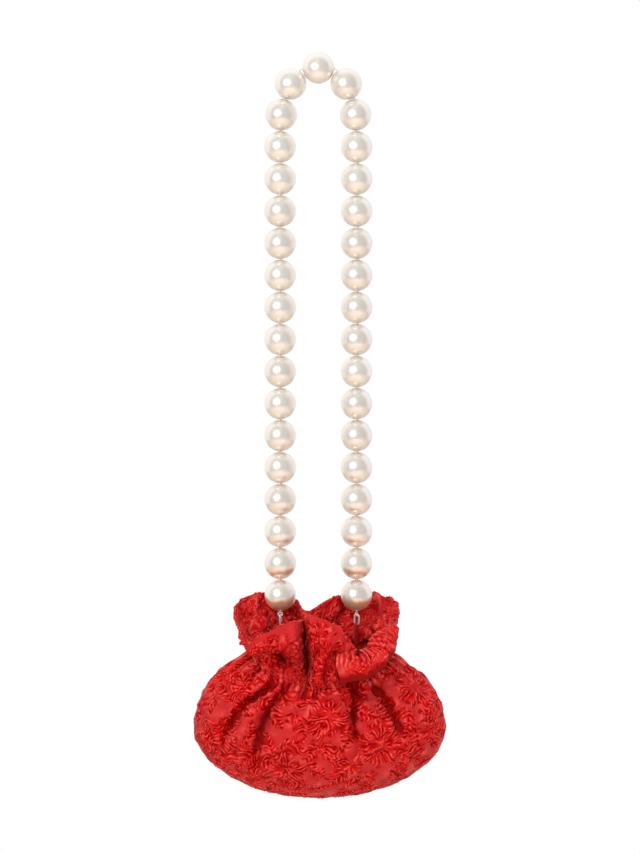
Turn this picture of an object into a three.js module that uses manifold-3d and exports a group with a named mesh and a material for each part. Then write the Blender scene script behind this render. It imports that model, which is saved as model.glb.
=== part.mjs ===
// Gathered silk pouch with a ruffled mouth, hung on a string of large round pearls.
// Millimetres, +Z up, and the front faces -Y.
// The origin is the underside of the top pearl, where the string hangs.
import * as THREE from "three";
import { ParametricGeometry } from "three/addons/geometries/ParametricGeometry.js";
import { mergeVertices } from "three/addons/utils/BufferGeometryUtils.js";
import Module from "manifold-3d";

const wasm = await Module();
wasm.setup();

// Pearls and string
const PEARL_RADIUS = 10;
const PEARL_PITCH = 20.3;
const PEARL_BORE_RADIUS = 1.1;
const PEARLS_PER_COLUMN = 16;
const ARCH_TILTS_DEG = [90, 30, 4]; // lean of the bores, from the top pearl down to the first of a column
const STRING_RADIUS = 0.7;

// Wire eyes and links at the ends of the string
const WIRE_RADIUS = 0.45;
const EYE_RING_RADIUS = 1.3;
const EYE_STEM_RADIUS = 0.6;
const EYE_STEM_INTO_BORE = 3;
const LINK_END_RADIUS = 1.75;
const LINK_STRAIGHT = 3.6;
const RUNNING_GAP = 0.15; // between one hanging ring and the next
const SEAT_GAP = 0.3; // between pieces that meet face to face
const EYE_YAW_DEG = { left: 8, right: 66 };
const LINK_YAW_DEG = { left: 80, right: -24 };

// Cloth loops inside the mouth
const ANCHOR_CORD_RADIUS = 0.75;
const ANCHOR_END_RADIUS = 1.7;
const ANCHOR_SEAT = { turnDeg: 45, rise: 0.1 }; // where the loop is sewn to the back of the neck

// Pouch body, a squashed ball that is cut off at the neck
const CLOTH_THICKNESS = 1.8;
const BODY_CENTRE = { x: 0.8, z: -407 };
const BODY_HALF_WIDTH = 80;
const BODY_HALF_DEPTH = 34;
const BODY_DROP = 46; // from the widest level to the bottom
const BODY_RISE = 58; // from the widest level to the top of the whole ball
const NECK_HALF_WIDTH = 46;
const NECK_DIP = { front: 22, back: 6 }; // how far the gathered neck sags below its sides
const EVEN_SPACING = 0.2; // spreads the columns of the wall evenly round the flat section

// Gathers round the neck
const GATHERS = 20;
const GATHER_DEPTH = 1.5;
const GATHER_REACH = 0.22; // share of the body's height that the gathers run down

// Creases of the body, one row each. Start, bend and end are [x, z].
const CREASES = [
  { face: "front", start: [-22, -381], bend: [-43, -403], end: [-39, -436], width: 4.5, depth: 7 },
  { face: "front", start: [-29, -379], bend: [-51, -386], end: [-63, -419], width: 4.5, depth: 6 },
  { face: "front", start: [23, -382], bend: [22, -402], end: [24, -422], width: 4, depth: 5 },
  { face: "front", start: [36, -381], bend: [52, -398], end: [54, -418], width: 5.5, depth: 4.5 },
  { face: "back", start: [-30, -374], bend: [-46, -392], end: [-50, -424], width: 5, depth: 5.5 },
  { face: "back", start: [-8, -376], bend: [-13, -400], end: [-10, -426], width: 5, depth: 5 },
  { face: "back", start: [16, -376], bend: [24, -396], end: [20, -420], width: 4.5, depth: 5.5 },
  { face: "back", start: [34, -372], bend: [52, -388], end: [60, -420], width: 5, depth: 5 },
];
const CREASE_FADE = 0.6; // share of a crease's length over which it runs out
const CREASE_SIDE_CLEAR = 0.35; // share of the depth next to the side edges where creases fade

// Rim of the ruffle, one row for each bend of its edge, counter-clockwise from the right seen from above.
// turnDeg is the place round the neck, x y z is the edge, and roll is 1 where the lip rolls outwards.
const RIM = [
  { turnDeg: 0, x: 51.5, y: 0, z: -332, roll: 0 },
  { turnDeg: 30, x: 45.5, y: 13, z: -327, roll: 0 },
  { turnDeg: 58, x: 30, y: 20, z: -324.5, roll: 0 },
  { turnDeg: 80, x: 11, y: 18, z: -326, roll: 0 },
  { turnDeg: 98, x: -7, y: 10, z: -335.5, roll: 0 },
  { turnDeg: 114, x: -14, y: 17, z: -328, roll: 0 },
  { turnDeg: 135, x: -30, y: 20, z: -324.2, roll: 0 },
  { turnDeg: 158, x: -46, y: 13, z: -326, roll: 0 },
  { turnDeg: 178, x: -53.5, y: 1, z: -333, roll: 0 },
  { turnDeg: 198, x: -50.5, y: -14, z: -347, roll: 0.2 },
  { turnDeg: 213, x: -46.5, y: -26, z: -354, roll: 0.3 },
  { turnDeg: 228, x: -33, y: -31, z: -346, roll: 0.1 },
  { turnDeg: 242, x: -20, y: -31, z: -340, roll: 0 },
  { turnDeg: 252, x: -12.5, y: -26, z: -339, roll: 0 },
  { turnDeg: 259, x: -9.5, y: -16, z: -340, roll: 0 },
  { turnDeg: 266, x: -6, y: -24, z: -336, roll: 0 },
  { turnDeg: 280, x: 7, y: -28, z: -339.5, roll: 0 },
  { turnDeg: 289, x: 15.5, y: -27, z: -345, roll: 0.1 },
  { turnDeg: 302, x: 18, y: -33.5, z: -358.5, roll: 0.65 },
  { turnDeg: 311, x: 21, y: -40, z: -371, roll: 1 },
  { turnDeg: 320, x: 29, y: -42, z: -374.5, roll: 1 },
  { turnDeg: 331, x: 39, y: -36, z: -366, roll: 0.9 },
  { turnDeg: 346, x: 46.5, y: -19, z: -348, roll: 0.4 },
];
const RUFFLE_LIFT = 11; // how steeply the ruffle leaves the neck and reaches its edge
const RUFFLE_PUFF = 5; // how far it swells out over the gathers at the front and back
const LIP_LIFT = 24; // how high a rolled lip arches before it comes down
const LIP_SETBACK = 0.45; // how far back towards the neck that arch stands

// Facets
const SHELL_COLUMNS = 80;
const BODY_ROWS = 11;
const RUFFLE_ROWS = 6;
const PEARL_SIDES = 10;
const PEARL_ARC_STEPS = 6;
const RING_SIDES = 14;
const WIRE_SIDES = 6;
const STRING_SIDES = 8;
const CURVE_SAMPLES = 16;

const radians = THREE.MathUtils.degToRad;
const smooth = (x) => THREE.MathUtils.smoothstep(x, 0, 1);
const silk = new THREE.MeshStandardMaterial({ color: 0xc4161c, roughness: 0.6, metalness: 0 });
const pearl = new THREE.MeshStandardMaterial({ color: 0xf1e7da, roughness: 0.22, metalness: 0.1 });
const silver = new THREE.MeshStandardMaterial({ color: 0xd8d6d2, roughness: 0.25, metalness: 1 });
const cord = new THREE.MeshStandardMaterial({ color: 0xefe6d6, roughness: 0.7, metalness: 0 });

function namedMesh(name, geometry, material) {
  const mesh = new THREE.Mesh(geometry, material);
  mesh.name = name;
  return mesh;
}

// A closed geometry as a solid that can be joined to another.
function solidOf(geometry) {
  const bare = new THREE.BufferGeometry();
  bare.setAttribute("position", geometry.getAttribute("position"));
  bare.setIndex(geometry.index);
  const merged = mergeVertices(bare);
  return new wasm.Manifold(
    new wasm.Mesh({
      numProp: 3,
      vertProperties: merged.attributes.position.array,
      triVerts: new Uint32Array(merged.index.array),
    }),
  );
}

function geometryOf(solid) {
  const mesh = solid.getMesh();
  const geometry = new THREE.BufferGeometry();
  geometry.setAttribute("position", new THREE.BufferAttribute(mesh.vertProperties, 3));
  geometry.setIndex(new THREE.BufferAttribute(mesh.triVerts, 1));
  geometry.computeVertexNormals();
  return geometry;
}

// A closed smooth curve through rows of numbers, read at any turn in degrees.
function closedTrack(rows, column) {
  const count = rows.length;
  const knot = (i) => {
    const lap = Math.floor(i / count);
    const row = rows[i - lap * count];
    return { at: row.turnDeg + 360 * lap, value: row[column] };
  };
  const slope = (i) => {
    const before = knot(i - 1);
    const after = knot(i + 1);
    return (after.value - before.value) / (after.at - before.at);
  };
  return (turnDeg) => {
    const turn = THREE.MathUtils.euclideanModulo(turnDeg, 360);
    let i = count - 1;
    while (rows[i].turnDeg > turn) i -= 1;
    const from = knot(i);
    const to = knot(i + 1);
    const span = to.at - from.at;
    const s = (turn - from.at) / span;
    const rise = to.value - from.value;
    const startBend = slope(i) * span - rise;
    const endBend = rise - slope(i + 1) * span;
    return from.value + s * rise + s * (1 - s) * ((1 - s) * startBend + s * endBend);
  };
}

const rimTrack = {};
for (const column of ["x", "y", "z", "roll"]) rimTrack[column] = closedTrack(RIM, column);

// How deep the creases press the cloth in at a place on the front or back.
const creaseLines = CREASES.map((crease) => ({
  ...crease,
  points: new THREE.QuadraticBezierCurve(
    new THREE.Vector2(...crease.start),
    new THREE.Vector2(...crease.bend),
    new THREE.Vector2(...crease.end),
  ).getPoints(CURVE_SAMPLES),
}));

function creaseDepth(x, z, isFront) {
  const place = new THREE.Vector2(x, z);
  let total = 0;
  for (const { face, points, width, depth } of creaseLines) {
    if ((face === "front") !== isFront) continue;
    const distances = points.map((point) => point.distanceTo(place));
    const nearest = Math.min(...distances);
    const along = distances.indexOf(nearest) / CURVE_SAMPLES;
    const fade = smooth((1 - along) / CREASE_FADE);
    total += depth * fade * Math.exp(-((nearest / width) ** 2));
  }
  return total;
}

// The outside of the body. rise runs from 0 at the bottom to 1 at the neck.
const NECK_LATITUDE = Math.acos(NECK_HALF_WIDTH / BODY_HALF_WIDTH);

function bodyPoint(turnDeg, rise) {
  const phi = radians(turnDeg);
  const theta = phi + EVEN_SPACING * Math.sin(2 * phi);
  const latitude = THREE.MathUtils.lerp(-Math.PI / 2, NECK_LATITUDE, rise);
  const ring = Math.max(Math.cos(latitude), 0);
  const height = latitude < 0 ? BODY_DROP : BODY_RISE;
  const across = Math.cos(theta);
  const outward = Math.sin(theta);
  const dip = (outward < 0 ? NECK_DIP.front : NECK_DIP.back) * outward ** 2;
  const nearNeck = smooth(Math.max(latitude, 0) / NECK_LATITUDE);
  const point = new THREE.Vector3(
    BODY_HALF_WIDTH * ring * across,
    BODY_HALF_DEPTH * ring * outward,
    height * Math.sin(latitude) - dip * nearNeck,
  );
  const inward = new THREE.Vector3(
    -point.x / BODY_HALF_WIDTH ** 2,
    -point.y / BODY_HALF_DEPTH ** 2,
    -point.z / height ** 2,
  ).normalize();
  point.x += BODY_CENTRE.x * (1 - nearNeck);
  point.z += BODY_CENTRE.z;
  const sideFade = smooth(Math.abs(outward) / CREASE_SIDE_CLEAR);
  const creased = creaseDepth(point.x, point.z, outward < 0) * sideFade;
  const gatherFade = smooth((rise - 1) / GATHER_REACH + 1);
  const gathered = GATHER_DEPTH * (1 - Math.cos(GATHERS * phi)) * gatherFade;
  return point.addScaledVector(inward, creased + gathered);
}

const NECK_HALF_DEPTH = BODY_HALF_DEPTH * Math.cos(NECK_LATITUDE);

// The outside of the ruffle. rise runs from 0 at the neck to 1 at the edge.
function rufflePoint(turnDeg, rise) {
  const neck = bodyPoint(turnDeg, 1);
  const edge = new THREE.Vector3(rimTrack.x(turnDeg), rimTrack.y(turnDeg), rimTrack.z(turnDeg));
  const roll = rimTrack.roll(turnDeg);
  const start = neck.clone();
  start.y += RUFFLE_PUFF * (neck.y / NECK_HALF_DEPTH);
  start.z += RUFFLE_LIFT;
  const upright = edge.clone();
  upright.z -= RUFFLE_LIFT;
  const rolled = edge.clone().lerp(neck, LIP_SETBACK);
  rolled.z = edge.z + LIP_LIFT;
  const end = upright.lerp(rolled, roll);
  return new THREE.CubicBezierCurve3(neck, start, end, edge).getPoint(rise);
}

// The outside of the whole wall at a column turn and a row counted from the bottom.
const WALL_ROWS = BODY_ROWS + RUFFLE_ROWS;

function outsidePoint(turnDeg, row) {
  if (row <= BODY_ROWS) return bodyPoint(turnDeg, row / BODY_ROWS);
  return rufflePoint(turnDeg, (row - BODY_ROWS) / RUFFLE_ROWS);
}

// The inside of the wall, one cloth thickness in from the outside. In the body and at the neck the
// direction is taken across a whole gather, so that sharp folds don't turn the inside over itself.
const BROAD_TURN = 180 / GATHERS;
const CLOSE_TURN = 180 / SHELL_COLUMNS;
const ROW_STEP = 0.5;

function insidePoint(turnDeg, row) {
  const outside = outsidePoint(turnDeg, row);
  if (row < ROW_STEP) return outside.add(new THREE.Vector3(0, 0, CLOTH_THICKNESS));
  const nearRim = smooth((row - BODY_ROWS) / RUFFLE_ROWS);
  const turnStep = THREE.MathUtils.lerp(BROAD_TURN, CLOSE_TURN, nearRim);
  const round = outsidePoint(turnDeg + turnStep, row).sub(outsidePoint(turnDeg - turnStep, row));
  const above = outsidePoint(turnDeg, Math.min(row + ROW_STEP, WALL_ROWS));
  const below = outsidePoint(turnDeg, row - ROW_STEP);
  const normal = round.cross(above.sub(below)).normalize();
  return outside.addScaledVector(normal, -CLOTH_THICKNESS);
}

// Splits the quads of the inside along the diagonals of the outside, so that the wall stays even.
function matchDiagonals(geometry, firstQuad) {
  const corners = geometry.index.array;
  for (let i = 6 * firstQuad; i < corners.length; i += 6) {
    const [a, b, d, , c] = corners.subarray(i, i + 6);
    corners.set([a, b, c, a, c, d], i);
  }
}

// One closed cloth wall: up the outside, over the edge of the ruffle and down the inside.
function pouchShell() {
  const rows = 2 * WALL_ROWS + 1;
  const wall = (u, v, target) => {
    const row = v * rows;
    const turnDeg = 360 * (u % 1);
    target.copy(row <= WALL_ROWS ? outsidePoint(turnDeg, row) : insidePoint(turnDeg, rows - row));
  };
  const geometry = new ParametricGeometry(wall, SHELL_COLUMNS, rows);
  geometry.deleteAttribute("normal");
  geometry.deleteAttribute("uv");
  matchDiagonals(geometry, (WALL_ROWS + 1) * SHELL_COLUMNS);
  return namedMesh("pouch_shell", geometryOf(solidOf(geometry)), silk);
}

// Places of the pearls, from the left end of the string over the top to the right end.
// Each has its centre and the lean of its bore, which is the way the string runs.
function pearlPlaces() {
  const halfCount = ARCH_TILTS_DEG.length - 1 + PEARLS_PER_COLUMN;
  const tiltOf = (i) => radians(ARCH_TILTS_DEG[i] ?? 0);
  const places = [{ centre: new THREE.Vector3(0, 0, PEARL_RADIUS), tilt: tiltOf(0) }];
  for (let i = 1; i < halfCount; i += 1) {
    const lean = (tiltOf(i - 1) + tiltOf(i)) / 2;
    const step = new THREE.Vector3(-Math.sin(lean), 0, -Math.cos(lean)).multiplyScalar(PEARL_PITCH);
    places.push({ centre: places[i - 1].centre.clone().add(step), tilt: tiltOf(i) });
  }
  const mirrored = places.slice(1).map(({ centre, tilt }) => ({
    centre: new THREE.Vector3(-centre.x, centre.y, centre.z),
    tilt: Math.PI - tilt,
  }));
  return [...places.reverse(), ...mirrored];
}

const boreDirection = (tilt) => new THREE.Vector3(Math.sin(tilt), 0, Math.cos(tilt));

// A drilled pearl, turned about its bore.
function pearlGeometry() {
  const poleAngle = Math.asin(PEARL_BORE_RADIUS / PEARL_RADIUS);
  const profile = [];
  for (let i = 0; i <= PEARL_ARC_STEPS; i += 1) {
    const angle = THREE.MathUtils.lerp(Math.PI - poleAngle, poleAngle, i / PEARL_ARC_STEPS);
    profile.push(new THREE.Vector2(PEARL_RADIUS * Math.sin(angle), PEARL_RADIUS * Math.cos(angle)));
  }
  profile.push(profile[0].clone());
  return new THREE.LatheGeometry(profile, PEARL_SIDES);
}

function pearls(places) {
  const geometry = pearlGeometry();
  const up = new THREE.Vector3(0, 1, 0);
  const group = new THREE.Group();
  places.forEach(({ centre, tilt }, i) => {
    const mesh = namedMesh(`pearl_${String(i + 1).padStart(2, "0")}`, geometry, pearl);
    mesh.position.copy(centre);
    mesh.quaternion.setFromUnitVectors(up, boreDirection(tilt));
    group.add(mesh);
  });
  return group;
}

// A path that turns only at its knots, so that a string is straight in each bore.
class StrungPath extends THREE.Curve {
  constructor(knots) {
    super();
    this.knots = knots;
  }
  getPoint(t, target = new THREE.Vector3()) {
    const last = this.knots.length - 1;
    const i = Math.min(Math.floor(t * last), last - 1);
    return target.lerpVectors(this.knots[i], this.knots[i + 1], t * last - i);
  }
  getPointAt(u, target) {
    return this.getPoint(u, target);
  }
  getTangentAt(u, target) {
    return this.getTangent(u, target);
  }
}

// The string runs through the bores and ends just above the stems of the wire eyes.
function string(places) {
  const endHeight = places[0].centre.z - PEARL_RADIUS + EYE_STEM_INTO_BORE + SEAT_GAP;
  const columnEnd = ({ centre }) => new THREE.Vector3(centre.x, 0, endHeight);
  const knots = [columnEnd(places[0])];
  for (const { centre, tilt } of places.slice(PEARLS_PER_COLUMN - 2, 2 - PEARLS_PER_COLUMN)) {
    const reach = boreDirection(tilt).multiplyScalar(PEARL_RADIUS);
    knots.push(centre.clone().sub(reach), centre.clone().add(reach));
  }
  knots.push(columnEnd(places[places.length - 1]));
  const section = new THREE.Shape();
  for (let i = 0; i < STRING_SIDES; i += 1) {
    const angle = (2 * Math.PI * i) / STRING_SIDES;
    const corner = [STRING_RADIUS * Math.cos(angle), STRING_RADIUS * Math.sin(angle)];
    if (i === 0) section.moveTo(...corner);
    else section.lineTo(...corner);
  }
  section.closePath();
  const geometry = new THREE.ExtrudeGeometry(section, {
    steps: knots.length - 1,
    extrudePath: new StrungPath(knots),
  });
  return namedMesh("string", geometry, cord);
}

// A ring of wire in the XZ plane, stretched along Z into an oval link.
function ovalRing(endRadius, wireRadius, straight) {
  const geometry = new THREE.TorusGeometry(endRadius, wireRadius, WIRE_SIDES, RING_SIDES);
  geometry.rotateZ(Math.PI / RING_SIDES);
  geometry.rotateX(Math.PI / 2);
  const position = geometry.getAttribute("position");
  for (let i = 0; i < position.count; i += 1) {
    const z = position.getZ(i);
    position.setZ(i, z + (Math.sign(z) * straight) / 2);
  }
  return geometry;
}

// A wire eye under the last pearl, with its stem up the bore.
function endEye(side, pearlBottom) {
  const ringDrop = EYE_RING_RADIUS + WIRE_RADIUS + RUNNING_GAP;
  const ring = ovalRing(EYE_RING_RADIUS, WIRE_RADIUS, 0);
  const stemLength = EYE_STEM_INTO_BORE + RUNNING_GAP + WIRE_RADIUS;
  const stem = new THREE.CylinderGeometry(EYE_STEM_RADIUS, EYE_STEM_RADIUS, stemLength, STRING_SIDES);
  stem.rotateX(Math.PI / 2);
  stem.translate(0, 0, EYE_RING_RADIUS + stemLength / 2);
  const mesh = namedMesh(`end_eye_${side}`, geometryOf(solidOf(ring).add(solidOf(stem))), silver);
  mesh.position.copy(pearlBottom);
  mesh.position.z -= ringDrop;
  mesh.rotation.z = radians(EYE_YAW_DEG[side]);
  return mesh;
}

// The middle of a cloth loop's lower end, which is sewn to the inside of the back of the neck.
// The loop's face looks along the link's width, and its round end stands off the wall by its reach.
function anchorSeat(side, linkAcross) {
  const turnDeg = side === "right" ? ANCHOR_SEAT.turnDeg : 180 - ANCHOR_SEAT.turnDeg;
  const row = BODY_ROWS + RUFFLE_ROWS * ANCHOR_SEAT.rise;
  const inside = insidePoint(turnDeg, row);
  const inward = inside.clone().sub(outsidePoint(turnDeg, row)).normalize();
  const endReach = ANCHOR_END_RADIUS * Math.sqrt(1 - linkAcross.dot(inward) ** 2);
  return inside.addScaledVector(inward, SEAT_GAP + ANCHOR_CORD_RADIUS + endReach);
}

// Hangs an oval ring from its top wire along the pull, with its width as near to a direction as it can be.
function hang(mesh, topWire, pull, across, length) {
  const up = pull.clone().negate();
  const normal = up.clone().cross(across).normalize();
  const width = normal.clone().cross(up);
  mesh.quaternion.setFromRotationMatrix(new THREE.Matrix4().makeBasis(width, normal, up));
  mesh.position.copy(topWire).addScaledVector(pull, length / 2);
  return { bottomWire: topWire.clone().addScaledVector(pull, length), normal };
}

// The wire and cloth that join one end of the string to the pouch: an eye, an oval link and a sewn loop.
function strapEnd(side, lastPearl) {
  const pearlBottom = lastPearl.centre.clone();
  pearlBottom.z -= PEARL_RADIUS;
  const eye = endEye(side, pearlBottom);
  const yaw = radians(LINK_YAW_DEG[side]);
  const linkAcross = new THREE.Vector3(Math.cos(yaw), Math.sin(yaw), 0);
  const seat = anchorSeat(side, linkAcross);
  const eyeNormal = new THREE.Vector3(0, 1, 0).applyEuler(eye.rotation);
  const lean = seat.clone().sub(eye.position).projectOnPlane(eyeNormal).setLength(EYE_RING_RADIUS);
  const eyeWire = eye.position.clone().add(lean);
  const pull = seat.clone().sub(eyeWire).normalize();

  const link = namedMesh(`link_${side}`, ovalRing(LINK_END_RADIUS, WIRE_RADIUS, LINK_STRAIGHT), silver);
  const linkTop = eyeWire.addScaledVector(pull, -2 * WIRE_RADIUS - RUNNING_GAP);
  const hung = hang(link, linkTop, pull, linkAcross, LINK_STRAIGHT + 2 * LINK_END_RADIUS);

  const wireGap = WIRE_RADIUS + ANCHOR_CORD_RADIUS + RUNNING_GAP;
  const anchorTop = hung.bottomWire.addScaledVector(pull, -wireGap);
  const length = anchorTop.distanceTo(seat) + ANCHOR_END_RADIUS;
  const loop = ovalRing(ANCHOR_END_RADIUS, ANCHOR_CORD_RADIUS, length - 2 * ANCHOR_END_RADIUS);
  const anchor = namedMesh(`anchor_${side}`, loop, silk);
  hang(anchor, anchorTop, pull, hung.normal, length);

  const group = new THREE.Group();
  group.add(eye, link, anchor);
  return group;
}

const places = pearlPlaces();
const pouch = new THREE.Group();
pouch.add(pouchShell(), pearls(places), string(places));
pouch.add(strapEnd("left", places[0]), strapEnd("right", places[places.length - 1]));

export default pouch;
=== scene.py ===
"""Dressed scene of a gathered silk pouch that hangs on a string of large pearls.

Lengths are millimetres until a mesh is made, and metres in every mesh.
"""

import logging
import math
from dataclasses import dataclass, field
from enum import Enum, IntEnum

import bmesh
import bpy
import numpy as np
from mathutils import Matrix, Vector


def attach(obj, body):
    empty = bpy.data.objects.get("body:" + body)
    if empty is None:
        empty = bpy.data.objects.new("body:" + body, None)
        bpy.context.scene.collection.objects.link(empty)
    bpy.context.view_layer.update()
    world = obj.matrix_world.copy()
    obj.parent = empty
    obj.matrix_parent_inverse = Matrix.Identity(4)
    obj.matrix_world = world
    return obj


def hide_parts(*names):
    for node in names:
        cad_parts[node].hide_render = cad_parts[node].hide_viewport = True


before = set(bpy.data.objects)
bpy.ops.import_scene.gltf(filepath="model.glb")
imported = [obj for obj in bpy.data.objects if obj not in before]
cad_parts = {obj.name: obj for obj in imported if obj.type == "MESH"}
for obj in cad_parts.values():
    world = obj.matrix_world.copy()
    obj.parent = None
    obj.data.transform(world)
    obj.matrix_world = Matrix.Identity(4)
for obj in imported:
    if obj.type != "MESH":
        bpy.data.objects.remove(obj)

log = logging.getLogger("silk_pouch")

MM = 0.001
BODY = "root"
SHELL = "pouch_shell"
IMAGE_HEIGHT = 853
FULL_TURN = 2 * math.pi
TINY = 1e-9
WELD_DISTANCE = 2e-6
UV_PER_MM = 0.1
RIPPLE_SPREAD = (0.75, 1.4)
FROM_MIN, FROM_MAX, TO_MIN, TO_MAX = 1, 2, 3, 4


Colour = tuple[float, float, float, float]


class Slot(Enum):
    """Material slots of the part."""

    SILK = "silk"
    PEARL = "pearl"
    SILVER = "silver"
    CORD = "cord"


class Face(Enum):
    """The two faces of the flat oval body."""

    FRONT = "front"
    BACK = "back"


class Motif(Enum):
    """Figures woven into the puckered silk."""

    FLOWER = "flower"
    LEAF = "leaf"


class Noise(IntEnum):
    """Numbers that keep a panel's kinds of unevenness apart."""

    SOWN = 1
    TENDRILS = 2
    DRIFT = 3
    UNEVEN = 4
    FRAY = 5
    WARP_ACROSS = 6
    WARP_UP = 7
    CRUSH = 8


def smoothstep(x: np.ndarray) -> np.ndarray:
    """Ease from 0 to 1 while x goes from 0 to 1."""
    x = np.clip(x, 0.0, 1.0)
    return x * x * (3.0 - 2.0 * x)


def ramp(x: np.ndarray, first: float, over: float) -> np.ndarray:
    """Ease from 0 at a first value to 1 after a stretch."""
    return smoothstep((x - first) / over)


def span(x: np.ndarray, first: float, last: float, soft: float) -> np.ndarray:
    """1 between first and last, easing to 0 over a soft stretch inside each end."""
    return smoothstep((x - first) / soft) * smoothstep((last - x) / soft)


def hump(x: np.ndarray, middle: float, width: float) -> np.ndarray:
    """A soft hump, 1 at its middle and about a third one width away."""
    return np.exp(-(((x - middle) / width) ** 2))


def unit(v: np.ndarray) -> np.ndarray:
    """Vectors of length 1 along the last axis."""
    return v / np.maximum(np.linalg.norm(v, axis=-1, keepdims=True), TINY)


def ripples(points: np.ndarray, wavelength: float, seed: int, waves: int = 20) -> np.ndarray:
    """Soft random swells of about one wavelength.

    Args:
        points: places in mm, any number of axes last.
        wavelength: typical distance between crests in mm.
        seed: picks the swells.
        waves: how many plane waves are added.

    Returns:
        A value for each place, with a spread of about 1.
    """
    rng = np.random.default_rng(seed)
    way = unit(rng.standard_normal((waves, points.shape[-1])))
    stride = FULL_TURN / (wavelength * rng.uniform(*RIPPLE_SPREAD, waves))
    start = rng.uniform(0.0, FULL_TURN, waves)
    total = np.zeros(points.shape[:-1])
    for i in range(waves):
        total += np.cos(points @ way[i] * stride[i] + start[i])
    return total * math.sqrt(2.0 / waves)


@dataclass(frozen=True)
class Swells:
    """Random swells of one wavelength in mm."""

    wavelength: float
    seed: int

    def at(self, points: np.ndarray) -> np.ndarray:
        """The swells at places in mm."""
        return ripples(points, self.wavelength, self.seed)


BROAD_CRUSH = Swells(15.0, 81)
FINE_CRUSH = Swells(9.0, 82)
ROLL_SWELLS = Swells(11.0, 83)
FAN_SWELLS = Swells(12.0, 84)
HEM_SWELLS = Swells(14.0, 85)


@dataclass(frozen=True)
class Spot:
    """One woven figure: its place, size and lean on the flat cloth."""

    kind: Motif
    u: float
    v: float
    size: float
    turn: float
    petals: int = 8


@dataclass(frozen=True)
class FlowerCut:
    """How a flower is drawn, in shares of its radius and in mm of softness."""

    lobe_power: float = 0.6
    lobe: float = 0.2
    fray: float = 0.9
    soft: float = 1.6
    ray_ring: float = 0.62
    sway: float = 1.1
    petal_from: float = 0.16
    petal_length: float = 0.9
    petal_power: float = 0.7
    heart: float = 0.6
    heart_ramp: tuple[float, float] = (0.15, 0.25)
    low: float = 0.35
    parting: float = 0.3
    parting_ramp: tuple[float, float] = (0.45, 0.4)


@dataclass(frozen=True)
class LeafCut:
    """How a leaf is drawn, in shares of its half length and in mm of softness."""

    half_width: float = 0.42
    point_power: float = 0.8
    taper: float = 0.3
    fray: float = 0.6
    soft: float = 1.4
    tip: float = 0.12
    ahead: float = 0.8
    aside: float = 0.6
    narrowest: float = 0.1
    crown: float = 0.85
    midrib: float = 0.7
    midrib_length: float = 0.92


FLOWER_CUT = FlowerCut()
LEAF_CUT = LeafCut()


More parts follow.
